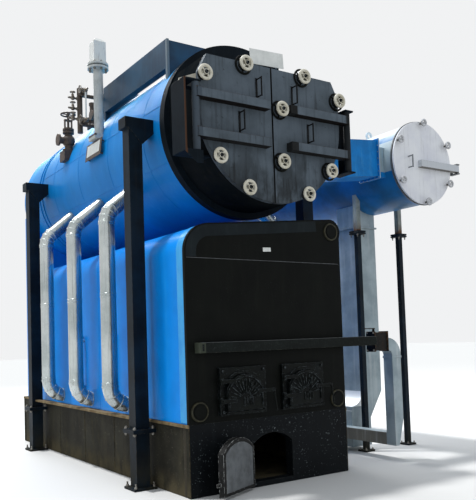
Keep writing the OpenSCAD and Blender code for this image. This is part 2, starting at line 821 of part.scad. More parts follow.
// Standpipe of the level controller with its flanges and head, on a block on the shell, and
// the water column beside it with its two pipes to the shell
module level_controller() {
    foot = 200;
    foot_h = 60;
    foot_top = shell_side(stand_x) + 45;
    collar_z = foot_top + stand_h;
    head = 155;
    head_h = 270;
    col_pipe = [stand_x + 160, stand_y + 220];
    col_pipe_z = [shell_z + 500, shell_z + 870];
    color("#b9bcb8") difference() {
        union() {
            translate([-stand_x - foot / 2, stand_y - foot / 2, foot_top - foot_h]) cube([foot, foot, foot_h]);
            translate([-stand_x, stand_y, foot_top - eps]) cylinder(r = stand_r, h = stand_h + 80);
            for (z = [0, 45]) translate([-stand_x, stand_y, collar_z + z]) cylinder(r = stand_r + 70, h = 25);
            translate([-stand_x - head / 2, stand_y - head / 2, collar_z + 70 - eps]) cube([head, head, head_h]);
            translate([-stand_x, stand_y, collar_z + 70 + head_h - 2 * eps]) intersection() {
                slab_y(-head / 2, head) level_cap_2d(head);
                rotate(90) slab_y(-head / 2, head) level_cap_2d(head);
            }
            translate([-col_pipe[0], col_pipe[1], col_pipe_z[0] - 115])
                cylinder(r = 34, h = col_pipe_z[1] - col_pipe_z[0] + 195);
            for (z = col_pipe_z) {
                round_between([-col_pipe[0], col_pipe[1], z], [-100, col_pipe[1], z], 24);
                round_y(-col_pipe[0], z, 26, col_pipe[1] - 130, 130);
                round_y(-col_pipe[0], z, 52, col_pipe[1] - 130, 24);
            }
        }
        shell_cut(stand_y - 300, 900);
    }
}

// Clipped top of the level controller's head
module level_cap_2d(w) {
    polygon([[-w / 2, 0], [w / 2, 0], [w / 4, 45], [-w / 4, 45]]);
}

// Two spring safety valves with side outlets
module safety_valves() {
    x = -300;
    foot = shell_side(x) - 60;
    body = 52;
    color("#6b4a35") difference() {
        for (dy = [0, 400]) translate([x, shell_y + safe_off + dy, foot]) {
            cylinder(r = body, h = 330);
            for (z = [100, 230]) translate([0, 0, z]) cylinder(r = body + 28, h = 35);
            translate([0, 0, 330 - eps]) cylinder(r = body - 14, h = 150);
            translate([0, 0, 460]) cylinder(r = body - 4, h = 40);
            round_between([0, 0, 180], [-190, 0, 180], 40);
            translate([-190, 0, 180]) rotate([0, 90, 0]) cylinder(r = 70, h = 25);
        }
        shell_cut(shell_y + safe_off - 300, 1000);
    }
}

// Flanged stop valve with its handwheel, on a pad on the shell's shoulder
module steam_stop_valve() {
    x = -860;
    y = shell_y + stop_off;
    pad = 190;
    pad_h = 140;
    pad_top = shell_side(x) + 45;
    wheel_z = 520;
    color("#4f4a47") difference() {
        union() {
            translate([x - pad / 2, y - pad / 2, pad_top - pad_h]) cube([pad, pad, pad_h]);
            translate([x, y, pad_top - eps]) {
                cylinder(r = 85, h = 28);
                cylinder(r = 52, h = 330);
                translate([0, 0, 150]) sphere(88);
                for (z = [250, 290]) translate([0, 0, z]) cylinder(r = 76, h = 26);
                cylinder(r = 16, h = wheel_z + 30);
                for (s = [-1, 1]) translate([s * 48 - 8, -14, 300]) cube([16, 28, 130]);
                translate([-56, -20, 425]) cube([112, 40, 22]);
                translate([0, 0, wheel_z]) {
                    rotate_extrude() translate([95, 0]) circle(11, $fn = 24);
                    for (a = [0, 90]) rotate(a) translate([-95, -7, -6]) cube([190, 14, 12]);
                }
                translate([0, 0, 150]) rotate([0, -90, 0]) cylinder(r = 48, h = 130);
                translate([0, 0, 150]) rotate([0, -90, 0]) translate([0, 0, 130]) cylinder(r = 80, h = 26);
            }
        }
        shell_cut(y - 300, 600);
    }
}

// Flat plate for the number plate, on four studs out from the shell's upper left side
module plate_bracket() {
    tilt = 8;
    plate = [6, plate_w, 210];
    y = stand_y - 220;
    stud = 45;
    color("#8d8f8c") difference() {
        translate([0, 0, shell_z]) rotate([0, tilt, 0]) {
            translate([-shell_r - stud, y, -plate[2] / 2]) cube(plate);
            for (dy = [40, plate_w - 40], z = [-80, 80])
                translate([-shell_r - stud + 1, y + dy, z]) rotate([0, 90, 0]) cylinder(r = 9, h = stud + 40);
        }
        shell_cut(y - 100, plate_w + 200);
    }
}

// Preheater

module preheater_shell() {
    plenum = 250;
    color("#1a5fb0") difference() {
        union() {
            round_y(pre_x, pre_z, pre_r, 0, pre_l);
            for (y = [865, pre_l - 865]) slab_y(y - 9, 18) union() {
                translate([pre_x - 36, pre_z + pre_r - 20]) square([72, 90]);
                translate([pre_x, pre_z + pre_r + 70]) circle(54);
            }
        }
        round_y(pre_x, pre_z, pre_r - 12, -1, plenum + 1);
        round_y(pre_x, pre_z + pre_r + 70, 27, 800, pre_l - 1600);
    }
}

// Front flange of the vessel, with the hinge lug of its cover
module preheater_front_ring() {
    ring_t = 18;
    lug_h = 130;
    color("#8f9296") difference() {
        union() {
            round_y(pre_x, pre_z, pre_r + 20, 0, ring_t);
            translate([pre_x + pre_r - 60, ring_t - eps, cover_arm_z - lug_h / 2]) cube([185, 20, lug_h]);
            for (dz = [0, lug_h - 15])
                translate([cover_hinge_x - 25, cover_hinge_y - 25, cover_arm_z - lug_h / 2 + dz])
                    cube([50, ring_t + 20 - cover_hinge_y + 25, 15]);
            translate([cover_hinge_x, cover_hinge_y, cover_arm_z - lug_h / 2]) cylinder(r = 12, h = lug_h);
        }
        round_y(pre_x, pre_z, pre_r + seat_gap, -1, 100);
    }
}

// Round cover with its hinge arm and a U handle
module preheater_cover() {
    face = cover_y - cover_t;
    arm = [60, 86];
    arm_x = pre_x - 85;
    handle = [255, 15, 67, 70];  // out from the middle, down, half height, reach
    handle_z = pre_z - handle[1];
    color("#d8dce0") difference() {
        union() {
            round_y(pre_x, pre_z, pre_r + 13, face, cover_t);
            translate([arm_x, face - arm[0], cover_arm_z - arm[1] / 2])
                cube([cover_hinge_x - arm_x, arm[0] + eps, arm[1]]);
            translate([cover_hinge_x, cover_hinge_y, cover_arm_z - arm[1] / 2]) cylinder(r = 28, h = arm[1]);
            for (dz = [-1, 1])
                round_y(pre_x - handle[0], handle_z + dz * handle[2], 8, face - handle[3], handle[3] + eps);
            translate([pre_x - handle[0], face - handle[3], handle_z - handle[2] - 9])
                cylinder(r = 9, h = 2 * handle[2] + 18);
        }
        translate([cover_hinge_x, cover_hinge_y, pre_z - 120]) cylinder(r = 12 + pin_gap, h = 200);
    }
}

// Eye nuts on swing bolts round the cover
module preheater_clamps() {
    face = cover_y - cover_t;
    stand = 60;
    color("#d9d4c0") for (a = [32 : 60 : 332]) {
        x = pre_x + (pre_r - 10) * cos(a);
        z = pre_z + (pre_r - 10) * sin(a);
        round_y(x, z, 12, face - stand, stand);
        translate([x, face - stand, z]) rotate([90, 0, 0]) rotate_extrude() translate([36, 0])
            circle(13, $fn = 24);
        translate([x - 30, face - stand - 6, z - 6]) cube([60, 12, 12]);
    }
}

// Pale stubs between the vessel and the bolted joint of each post
module preheater_saddles() {
    stub = 66;
    color("#9aa09a") for (y = post_y, s = [-1, 1]) difference() {
        translate([pre_x + s * post_span / 2 - stub / 2, y - stub / 2, post_h]) cube([stub, stub, pre_z - post_h]);
        round_y(pre_x, pre_z, pre_r + seat_gap, y - stub, 2 * stub);
    }
}

// Posts with a bolted plate joint at the top and a foot plate
module preheater_posts() {
    color("#1b1c20") for (y = post_y, s = [-1, 1]) translate([pre_x + s * post_span / 2, y, 0]) {
        translate([-post_w / 2, -post_w / 2, 0]) cube([post_w, post_w, post_h]);
        for (z = [0, post_h - 44, post_h - 20])
            translate([-post_plate / 2, -post_plate / 2, z]) cube([post_plate, post_plate, 20]);
    }
}

// Gas duct from the smokebox's right side to the preheater, with a flange at the vessel
module flue_duct() {
    y0 = 140;
    depth = 300;
    h = 430;
    z0 = pre_z - 188;
    slope = 110;
    lap_x = smoke_r - 30;
    neck_x = pre_x - pre_r - 110;
    color("#1c7fd6") difference() {
        union() {
            slab_y(y0, depth) polygon([[lap_x, z0 - slope], [neck_x + eps, z0], [neck_x + eps, z0 + h],
                [neck_x - 60, z0 + h], [lap_x, z0 + h - 90]]);
            translate([neck_x, y0 + 10, z0]) cube([pre_x - neck_x, depth - 20, h - 70]);
            translate([neck_x, y0 - 25, z0 - 25]) cube([20, depth + 50, h + 50]);
        }
        slab_y(y0 - 100, depth + 200) smokebox_2d(-seat_gap);
        round_y(0, shell_z, flange_r + seat_gap, shell_y - 10, depth);
        round_y(pre_x, pre_z, pre_r + seat_gap, 0, y0 + depth + 200);
    }
}

// Air duct down from the vessel, bent out at its foot towards the low duct
module air_duct_down() {
    foot_z = 50;
    flare = duct_x - low_x - low_w;
    flare_z = 560;
    right = duct_x + duct_w;
    cut = [210, 330];
    flange_z = post_h + 60;
    color("#a9b0b6") difference() {
        union() {
            slab_y(duct_y, duct_d) difference() {
                polygon([[duct_x - flare, foot_z], [right - cut[0], foot_z], [right - cut[0], 2 * foot_z + 300],
                    [right, 2 * foot_z + 300 + cut[1]], [right, pre_z], [duct_x, pre_z],
                    [duct_x, flare_z + flare], [duct_x - flare, flare_z + flare]]);
                translate([duct_x - flare, flare_z + flare]) circle(flare);
            }
            translate([duct_x - 20, duct_y - 20, flange_z]) cube([duct_w + 40, duct_d + 40, 20]);
        }
        round_y(pre_x, pre_z, pre_r + seat_gap, 0, pre_l);
    }
}

// Low duct from the foot of the downward duct to the riser
module air_duct_low() {
    color("#b4bac0") translate([low_x, riser_d, low_z])
        cube([low_w, duct_y + duct_d - riser_d, low_h - low_z]);
}

// Riser with a rounded elbow at its top, turned towards the damper box
module air_duct_riser() {
    start = bar_end + damper_w;
    band = 6;
    color("#b4bac0") {
        slab_y(0, riser_d) union() {
            polygon([[low_x, low_z], [low_right - 80, low_z], [low_right, low_z + 300],
                [low_right, riser_top - elbow_r], [low_x, riser_top - elbow_r]]);
            translate([start, riser_top - low_w]) square([low_right - elbow_r - start, low_w]);
            intersection() {
                translate([low_right - elbow_r, riser_top - elbow_r]) difference() {
                    circle(elbow_r);
                    circle(elbow_r - low_w);
                }
                translate([low_right - elbow_r - eps, riser_top - elbow_r - eps]) square(elbow_r + 1);
            }
        }
        translate([low_x - band, -band, riser_top - elbow_r - 35])
            cube([low_w + 2 * band, riser_d + 2 * band, 25]);
    }
}

// Drain pipes with a cock, down the furnace's left side
module drain_pipes() {
    pipe_r = 17;
    x = -half_w - 26;
    top = pit_h + 870;
    cock_z = pit_h + 250;
    color("#8b8d8a") for (i = [0, 1]) {
        y = pipe_y + 280 + i * (pipe_pitch - 80);
        translate([x, y, pit_h + 170]) cylinder(r = pipe_r, h = top - pit_h - 170);
        round_between([-half_w + 10 - seat_gap, y, top - 50], [x, y, top - 50], pipe_r - 3);
        translate([x, y, cock_z]) sphere(2 * pipe_r);
        round_between([x, y, cock_z], [x - 55, y, cock_z + 10], pipe_r - 6);
        translate([x, y, top - 20]) cylinder(r = pipe_r + 8, h = 30);
    }
}

ash_pit_front();
ash_pit_side_walls();
ash_pit_back_wall();
ash_pit_floor();
grate_bars();
ash_door_hinges();
ash_door();
furnace_front_plate();
furnace_casing();
wall_headers();
fire_door_frames();
fire_door_left();
fire_door_right();
air_bar();
damper_box();
rear_chamber();
shell_drum();
shell_front_flange();
front_tube_plate();
smokebox();
smokebox_door_left();
smokebox_door_right();
handwheels_left();
handwheels_right();
smokebox_hinge_brackets();
rear_smokebox();
columns_left();
columns_right();
column_rails();
downcomers_left();
downcomers_right();
platform_frame();
level_controller();
safety_valves();
steam_stop_valve();
plate_bracket();
preheater_shell();
preheater_front_ring();
preheater_cover();
preheater_clamps();
preheater_saddles();
preheater_posts();
flue_duct();
air_duct_down();
air_duct_low();
air_duct_riser();
drain_pipes();
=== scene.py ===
"""Looks of a solid-fuel steam boiler with its air preheater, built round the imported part.

Metres, Z up, the same frame as the CAD model. Run as a script; it is never installed.
"""
import math

import bmesh
import bpy
import numpy as np
from bpy.props import FloatProperty, FloatVectorProperty, IntProperty, PointerProperty
from bpy.types import Operator, Panel, PropertyGroup
from mathutils import Matrix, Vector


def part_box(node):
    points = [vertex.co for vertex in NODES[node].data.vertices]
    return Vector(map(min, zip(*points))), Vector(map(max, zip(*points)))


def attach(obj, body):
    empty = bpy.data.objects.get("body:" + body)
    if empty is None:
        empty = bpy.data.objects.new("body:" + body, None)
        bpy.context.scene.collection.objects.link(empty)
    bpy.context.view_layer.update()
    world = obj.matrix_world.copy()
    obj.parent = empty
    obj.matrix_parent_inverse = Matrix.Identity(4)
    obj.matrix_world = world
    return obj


bl_info = {
    "name": "Steam boiler looks",
    "version": (1, 0, 0),
    "blender": (4, 5, 0),
    "location": "View3D > Sidebar > Boiler",
    "description": "Builds the trim and the finishes of a solid-fuel steam boiler",
    "category": "Object",
}

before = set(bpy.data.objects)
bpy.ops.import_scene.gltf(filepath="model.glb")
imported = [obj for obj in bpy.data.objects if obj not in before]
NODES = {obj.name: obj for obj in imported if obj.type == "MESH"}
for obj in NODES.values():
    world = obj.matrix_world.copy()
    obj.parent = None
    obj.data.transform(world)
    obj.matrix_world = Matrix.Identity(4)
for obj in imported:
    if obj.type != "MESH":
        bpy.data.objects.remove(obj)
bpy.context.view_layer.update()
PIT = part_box("ash_pit_side_walls")
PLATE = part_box("furnace_front_plate")
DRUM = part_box("shell_drum")
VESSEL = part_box("preheater_shell")
SHELL_Z = (DRUM[0].z + DRUM[1].z) / 2
SHELL_R = (DRUM[1].z - DRUM[0].z) / 2
VESSEL_X = (VESSEL[0].x + VESSEL[1].x) / 2
SMOKE_FACE = -0.19      # outer face of the smokebox doors
RIM_SCREWS = ((0.843, 4.0), (0.367, 4.18), (0.6987, 3.2207), (0.3739, 2.9433))
SCREWS = {side: [(way * x, z) for x, z in RIM_SCREWS] for side, way in (("left", -1), ("right", 1))}
SCREWS["right"] += [(0.062, 3.79), (0.062, 3.25)]
# Handwheels whose painted shadow ring lies on the door
WHEEL_SHADOWS = {"left": [(-0.367, 4.18)], "right": [(x, z) for x, z in SCREWS["right"] if z > 3.0]}
HANDLES = [(-0.21, 3.97), (-0.428, 3.6), (0.239, 3.965), (0.437, 3.592)]
HEADERS = [(0.86, 2.61), (-0.867, 0.795), (0.867, 0.795)]
FIRE_X = {"left": -0.3865, "right": 0.3705}
FIRE_FACE = -0.09       # outer face of the fire doors
ASH_HINGE = (-0.3025, -0.038, 0)
ASH_OPEN = -156         # turn of the ash door from closed, in degrees
COLUMN_X = 1.135        # distance of the columns' middle from the boiler's
PIPE_X = 1.165          # distance of the upright pipes' middle from the boiler's
GAUGE = (-1.05, 2.42)   # middle of the water column, seen from above
STAND = (-0.89, 2.2)    # middle of the level stand, seen from above
X, Y, Z = np.eye(3)


# Colour and node helpers

def linear(code):
    """Linear colour of an sRGB hex value such as #1c7fd6; a colour from the settings is linear already."""
    if not isinstance(code, str):
        return tuple(code)
    rgb = np.array([int(code[i:i + 2], 16) for i in (1, 3, 5)]) / 255
    return tuple(np.where(rgb <= 0.04045, rgb / 12.92, ((rgb + 0.055) / 1.055) ** 2.4))


def per(mm):
    """How many times a pattern of that many millimetres repeats in a metre."""
    return 1000 / mm


def add(tree, kind, settings=None, wires=None):
    """Add a node, with its settings and with a value or a link for each socket that is named."""
    node = tree.nodes.new("ShaderNode" + kind)
    for name, value in (settings or {}).items():
        setattr(node, name, value)
    for name, value in (wires or {}).items():
        socket = node.inputs[name]
        if isinstance(value, bpy.types.NodeSocket):
            tree.links.new(value, socket)
        else:
            socket.default_value = value
    return node


def blended(tree, share, low, high):
    """Colour socket that goes from low to high as share goes from 0 to 1."""
    mix = add(tree, "Mix", {"data_type": "RGBA"}, {"Factor": share})
    for socket, value in ((mix.inputs[6], low), (mix.inputs[7], high)):
        if isinstance(value, bpy.types.NodeSocket):
            tree.links.new(value, socket)
        else:
            socket.default_value = (*value[:3], 1)
    return mix.outputs[2]


def patches(tree, place, size_mm, low, high, stretch=(1, 1, 1), detail=4, seed=0.0):
    """Share from 0 to 1 of cloudy patches of a real size; low and high are where they start and end."""
    moved = add(tree, "Mapping", {}, {"Vector": place, "Location": (seed, seed * 0.7, seed * 1.3),
                                      "Scale": stretch})
    cloud = add(tree, "TexNoise", {}, {"Vector": moved.outputs[0], "Scale": per(size_mm), "Detail": detail,
                                       "Roughness": 0.6})
    span = add(tree, "MapRange", {"interpolation_type": "SMOOTHSTEP"},
               {"Value": cloud.outputs[0], "From Min": low, "From Max": high})
    return span.outputs[0]


def times(tree, a, b, how="MULTIPLY"):
    """Product, or another sum, of two shares."""
    node = add(tree, "Math", {"operation": how, "use_clamp": True})
    for socket, value in zip(node.inputs, (a, b)):
        if isinstance(value, bpy.types.NodeSocket):
            tree.links.new(value, socket)
        else:
            socket.default_value = value
    return node.outputs[0]


def inside(tree, place, low, high):
    """1 inside the box between two corners in metres, and 0 outside it."""
    low, high = np.array(low), np.array(high)
    shift = add(tree, "VectorMath", {"operation": "SUBTRACT"}, {0: place, 1: tuple((low + high) / 2)})
    size = add(tree, "VectorMath", {"operation": "ABSOLUTE"}, {0: shift.outputs[0]})
    half = tuple((high - low) / 2)
    past = add(tree, "VectorMath", {"operation": "SUBTRACT"}, {0: size.outputs[0], 1: half})
    axes = add(tree, "SeparateXYZ", {}, {0: past.outputs[0]})
    most = add(tree, "Math", {"operation": "MAXIMUM"}, {0: axes.outputs[0], 1: axes.outputs[1]})
    most = add(tree, "Math", {"operation": "MAXIMUM"}, {0: most.outputs[0], 1: axes.outputs[2]})
    return add(tree, "Math", {"operation": "LESS_THAN"}, {0: most.outputs[0], 1: 0.0}).outputs[0]


def finish(name, colour, shade, grime_and_sheen, rough, metallic=0.0, patch=900, streak=(60, 0.08), streaks=0.5,
           spots=0.0, spot=25, grit=6, grit_depth=0.0004, wave=0.0, wave_size=420, wear_and_glint=None, zones=(),
           edge=0.004, fade=None, fade_size=160, spangle=0, gloss=0.5, specks=None):
    """Weathered finish. The colour drifts to its shade in patches, the grime_and_sheen colour runs down it
    in streaks and lies on it in spots, edges turn to the wear_and_glint colour, and zones are boxes painted
    otherwise. fade gives the heights where grime_and_sheen covers it and where that ends, and specks a
    colour and a size. On some finishes grime_and_sheen is real grime and on others a painted sheen;
    wear_and_glint is real wear on some and painted glints on others; some zones are painted light or painted
    shade. Bumps are grit and a wavy sheet."""
    material = bpy.data.materials.new(name)
    material.use_nodes = True
    tree = material.node_tree
    tree.nodes.clear()
    place = add(tree, "TexCoord").outputs["Object"]
    body = blended(tree, patches(tree, place, patch, 0.35, 0.68), linear(colour), linear(shade))
    if spangle:
        cells = add(tree, "TexVoronoi", {}, {"Vector": place, "Scale": per(spangle), "Randomness": 1.0})
        tone = add(tree, "MapRange", {}, {"Value": cells.outputs["Color"], "To Min": 0.0, "To Max": 0.22})
        body = blended(tree, tone.outputs[0], body, linear(shade))
    for low, high, code in zones:
        body = blended(tree, inside(tree, place, low, high), body, linear(code))
    run = patches(tree, place, streak[0], 0.5, 0.75, (1, 1, streak[1]), 5, 3.1)
    share = times(tree, run, streaks)
    if fade:
        height = add(tree, "SeparateXYZ", {}, {0: place}).outputs[2]
        foot = add(tree, "MapRange", {"interpolation_type": "SMOOTHSTEP"},
                   {"Value": height, "From Min": fade[1], "From Max": fade[0], "To Min": 0.0})
        cloud = patches(tree, place, fade_size, 0.3, 0.6, (1, 1, 0.5), 5, 7.7)
        share = times(tree, share, times(tree, foot.outputs[0], cloud), "ADD")
    body = blended(tree, share, body, linear(grime_and_sheen))
    if specks:
        dots = patches(tree, place, specks[1], 0.68, 0.72, (1, 1, 1), 2, 2.2)
        where = patches(tree, place, 260, 0.4, 0.6, (1, 1, 1), 2, 6.4)
        body = blended(tree, times(tree, dots, where), body, linear(specks[0]))
    if spots:
        marks = patches(tree, place, spot, 0.66, 0.72, (1, 1, 1), 3, 9.3)
        body = blended(tree, times(tree, marks, spots), body, linear(grime_and_sheen))
    worn = add(tree, "Bevel", {"samples": 4}, {"Radius": edge})
    if wear_and_glint:
        flat = add(tree, "NewGeometry").outputs["Normal"]
        turn = add(tree, "VectorMath", {"operation": "DOT_PRODUCT"}, {0: worn.outputs[0], 1: flat})
        rim = add(tree, "MapRange", {}, {"Value": turn.outputs["Value"], "From Min": 0.995, "From Max": 0.9})
        chips = patches(tree, place, 35, 0.42, 0.6, (1, 1, 1), 4, 5.5)
        body = blended(tree, times(tree, rim.outputs[0], chips), body, linear(wear_and_glint))
    dull = add(tree, "MapRange", {}, {"Value": share, "To Min": rough, "To Max": min(1, rough + 0.3)})
    grain = add(tree, "TexNoise", {}, {"Vector": place, "Scale": per(grit), "Detail": 2.0})
    normal = add(tree, "Bump", {}, {"Strength": 1.0, "Distance": grit_depth, "Height": grain.outputs[0],
                                    "Normal": worn.outputs[0]}).outputs[0]
    if wave:
        sheet = add(tree, "TexNoise", {}, {"Vector": place, "Scale": per(wave_size), "Detail": 1.0})
        normal = add(tree, "Bump", {}, {"Strength": 1.0, "Distance": wave, "Height": sheet.outputs[0],
                                        "Normal": normal}).outputs[0]
    shader = add(tree, "BsdfPrincipled", {}, {"Base Color": body, "Roughness": dull.outputs[0],
                                              "Metallic": metallic, "Specular IOR Level": gloss,
                                              "Normal": normal})
    add(tree, "OutputMaterial", {}, {"Surface": shader.outputs[0]})
    return material


# Shape helpers

def grid(points, close_rows=False, close_cols=False):
    """Points (copies, rows, columns, 3) and the four corners of each square between them."""
    points = np.asarray(points, float)
    points = points[None] if points.ndim == 3 else points
    copies, rows, cols, _ = points.shape
    r, c = np.meshgrid(np.arange(rows if close_rows else rows - 1),
                       np.arange(cols if close_cols else cols - 1), indexing="ij")
    r2, c2 = (r + 1) % rows, (c + 1) % cols
    quads = np.stack([r * cols + c, r2 * cols + c, r2 * cols + c2, r * cols + c2], -1).reshape(-1, 4)
    faces = quads[None] + (np.arange(copies) * rows * cols)[:, None, None]
    return points.reshape(-1, 3), faces.reshape(-1, 4)


def unit(v):
    """The same vectors, one long."""
    v = np.asarray(v, float)
    return v / np.linalg.norm(v, axis=-1, keepdims=True)


def turned(profile, centres, axis, sides=24, loop=False):
    """A profile (radius, height) turned round an axis at each centre:
    centre + height * axis + radius * (cos t * u + sin t * v)."""
    profile = np.asarray(profile, float)
    centres = np.atleast_2d(np.asarray(centres, float))
    axis = np.broadcast_to(unit(np.atleast_2d(axis)), centres.shape)
    helper = np.where(np.abs(axis[:, 2:]) < 0.9, Z, X)
    u = unit(np.cross(helper, axis))
    v = np.cross(axis, u)
    t = np.linspace(0, 2 * math.pi, sides, endpoint=False)[None, :, None]
    ring = np.cos(t) * u[:, None] + np.sin(t) * v[:, None]
    points = (centres[:, None, None] + profile[None, None, :, 1:] * axis[:, None, None]
              + profile[None, None, :, :1] * ring[:, :, None])
    return grid(points, close_rows=True, close_cols=loop)


def carried(section, path, rise=Z, loop=False):
    """A closed section (side, rise) carried along a path: point + side * s + rise * r. Each end of an open
    path is closed by shrinking the section to its middle."""
    section, path = np.asarray(section, float), np.asarray(path, float)
    if loop:
        along = unit(np.roll(path, -1, 0) - np.roll(path, 1, 0))
    else:
        along = unit(np.gradient(path, axis=0))
    rise = np.broadcast_to(np.asarray(rise, float), path.shape)
    rise = unit(rise - (rise * along).sum(1, keepdims=True) * along)
    side = np.cross(along, rise)
    points = (path[:, None] + section[None, :, :1] * side[:, None] + section[None, :, 1:] * rise[:, None])
    if not loop:
        ends = [np.repeat(points[i].mean(0, keepdims=True), len(section), 0)[None] for i in (0, -1)]
        points = np.concatenate([ends[0], points, ends[1]])
    return grid(points, close_rows=loop, close_cols=True)


def strip(width, height, sunk=0.001, soft=0.0015):
    """Section of a flat strip with softened upper edges, a little sunk into what it lies on."""
    w = width / 2
    return [(-w, -sunk), (w, -sunk), (w, height - soft), (w - soft, height), (soft - w, height),
            (-w, height - soft)]


def rounded(width, height, soft):
    """Section of a bar with chamfered corners, centred."""
    w, h = width / 2, height / 2
    return [(-w, soft - h), (soft - w, -h), (w - soft, -h), (w, soft - h),
            (w, h - soft), (w - soft, h), (soft - w, h), (-w, h - soft)]


def disc(radius, sides=16):
    """Section of a round bar."""
    t = np.linspace(0, 2 * math.pi, sides, endpoint=False)
    return np.stack([radius * np.cos(t), radius * np.sin(t)], 1)


def line(a, b, steps=2):
    """Straight path between two points."""
    return np.linspace(a, b, steps)


def circle(centre, radius, start=0, end=360, steps=96, closed=True):
    """Path on a circle in the XZ plane, with the outward direction at each point."""
    t = np.radians(np.linspace(start, end, steps, endpoint=not closed))
    out = np.stack([np.cos(t), np.zeros_like(t), np.sin(t)], 1)
    return np.asarray(centre) + radius * out, out


def nuts(centres, axis, across=0.03, height=0.018, thread=0.4):
    """Hexagon nuts with a chamfered top, each with the rounded end of its stud."""
    r = across / math.sqrt(3)
    stud = r * 0.55
    return [turned([(0, -0.002), (r, -0.002), (r, height * 0.8), (r * 0.86, height), (0, height)],
                   centres, axis, 6),
            turned([(0, 0), (stud, 0), (stud, height * (1 + thread) - 0.002),
                    (stud * 0.7, height * (1 + thread)), (0, height * (1 + thread))], centres, axis, 10)]


def rivets(centres, axis, radius=0.007):
    """Low domed rivet heads."""
    dome = [(0, -0.001), (radius, -0.001), (radius * 0.95, radius * 0.25), (radius * 0.6, radius * 0.5),
            (0, radius * 0.6)]
    return [turned(dome, centres, axis, 8)]


def slab(outline, place, along, out, height, soft=0.003):
    """A flat plate on a convex outline (s, z): place + s * along + z * Z, raised along out by height, with a
    softened edge. The middle is one point."""
    outline = np.asarray(outline, float)
    middle = outline.mean(0)
    levels = [(1.0, -0.001), (1.0, height - soft), (1.0 - soft / 0.1, height), (0.0, height)]
    points = [(np.asarray(place) + (middle + share * (outline - middle))[:, :1] * along
               + (middle + share * (outline - middle))[:, 1:] * Z + rise * out) for share, rise in levels]
    return grid(np.array(points), close_cols=True)


def cock(place, out, up, length=0.13, wheel=0.036):
    """A small cock: a barrel along out with a union and a nozzle, and a stem along up with its wheel."""
    place, out, up = (np.asarray(v, float) for v in (place, out, up))
    r = 0.014
    barrel = [(0, -0.002), (r * 1.5, -0.002), (r * 1.5, 0.012), (r, 0.016), (r, length * 0.3),
              (r * 1.8, length * 0.38), (r * 2, length * 0.5), (r * 1.8, length * 0.62),
              (r, length * 0.7), (r * 0.8, length), (0, length)]
    middle = place + 0.5 * length * out
    stem = [(0, 0), (r * 1.2, 0), (r * 1.2, 0.045), (r * 0.7, 0.05), (r * 0.4, 0.055), (r * 0.4, 0.085),
            (0, 0.085)]
    t = np.linspace(0, 2 * math.pi, 9)[:8]
    rim = np.stack([wheel + 0.006 * np.cos(t), 0.074 + 0.006 * np.sin(t)], 1)
    side = np.cross(out, up)
    hub = middle + 0.074 * up
    spokes = [carried(rounded(0.008, 0.005, 0.001), line(hub - wheel * way, hub + wheel * way), up)
              for way in (out, side)]
    return [turned(barrel, place, out, 12), turned(stem, middle, up, 12),
            turned(rim, middle, up, 20, loop=True), *spokes]


def piece(name, grids, material, body="boiler", corner=35):
    """One mesh object from several grids: seams and poles merged, faces outwards, sharp corners kept."""
    points = np.concatenate([g[0] for g in grids])
    starts = np.cumsum([0] + [len(g[0]) for g in grids[:-1]])
    faces = np.concatenate([g[1] + s for g, s in zip(grids, starts)])
    mesh = bpy.data.meshes.new(name)
    mesh.from_pydata(points.tolist(), [], faces.tolist())
    work = bmesh.new()
    work.from_mesh(mesh)
    bmesh.ops.remove_doubles(work, verts=work.verts, dist=1e-5)
    bmesh.ops.dissolve_degenerate(work, edges=work.edges, dist=1e-6)
    bmesh.ops.recalc_face_normals(work, faces=work.faces)
    work.to_mesh(mesh)
    work.free()
    mesh.shade_smooth()
    mesh.set_sharp_from_angle(angle=math.radians(corner))
    mesh.materials.append(material)
    obj = bpy.data.objects.new(name, mesh)
    bpy.context.scene.collection.objects.link(obj)
    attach(obj, body)
    return obj


def dress(material, *names):
    """Give CAD nodes this material."""
    for name in names:
        NODES[name].data.materials.clear()
        NODES[name].data.materials.append(material)


def seen(tree):
    """1 on rays that the eye follows, also in a mirror or through glass, and 0 on those that bring light."""
    ray = add(tree, "LightPath")
    share = times(tree, ray.outputs["Is Camera Ray"], ray.outputs["Is Transmission Ray"], "ADD")
    return times(tree, share, ray.outputs["Is Glossy Ray"], "ADD")


# Settings

class BoilerColours(PropertyGroup):
    """Colours that a user would change."""

    def colour(name, code):
        return FloatVectorProperty(name=name, description=name + " of the boiler", subtype="COLOR", size=3,
                                   min=0, max=1, default=linear(code))

    blue: colour("Cladding blue", "#068ade")
    floor: colour("Floor", "#d8d8d6")


class BoilerSizes(PropertyGroup):
    """Sizes of the trim, in metres."""

    lap_width: FloatProperty(name="Lap width", description="Width of a lap band on the cladding",
                             subtype="DISTANCE", unit="LENGTH", default=0.04, min=0.01, max=0.1)
    lap_height: FloatProperty(name="Lap height", description="How far a lap band stands out",
                              subtype="DISTANCE", unit="LENGTH", default=0.0025, min=0.001, max=0.01)
    bead: FloatProperty(name="Bead", description="Height of a bead on the clad pipes",
                        subtype="DISTANCE", unit="LENGTH", default=0.009, min=0.002, max=0.02)
    ribs: IntProperty(name="Door ribs", description="Number of cast ribs on a fire door", default=13,
                      min=5, max=31)


class BoilerStage(PropertyGroup):
    """Light and floor."""

    sun: FloatProperty(name="Sun", description="Strength of the sun lamp", default=2.4, min=0, max=10)
    sky: FloatProperty(name="Sky", description="Strength of the light from all round", default=0.74, min=0,
                       max=3)


# Finishes

M = {}
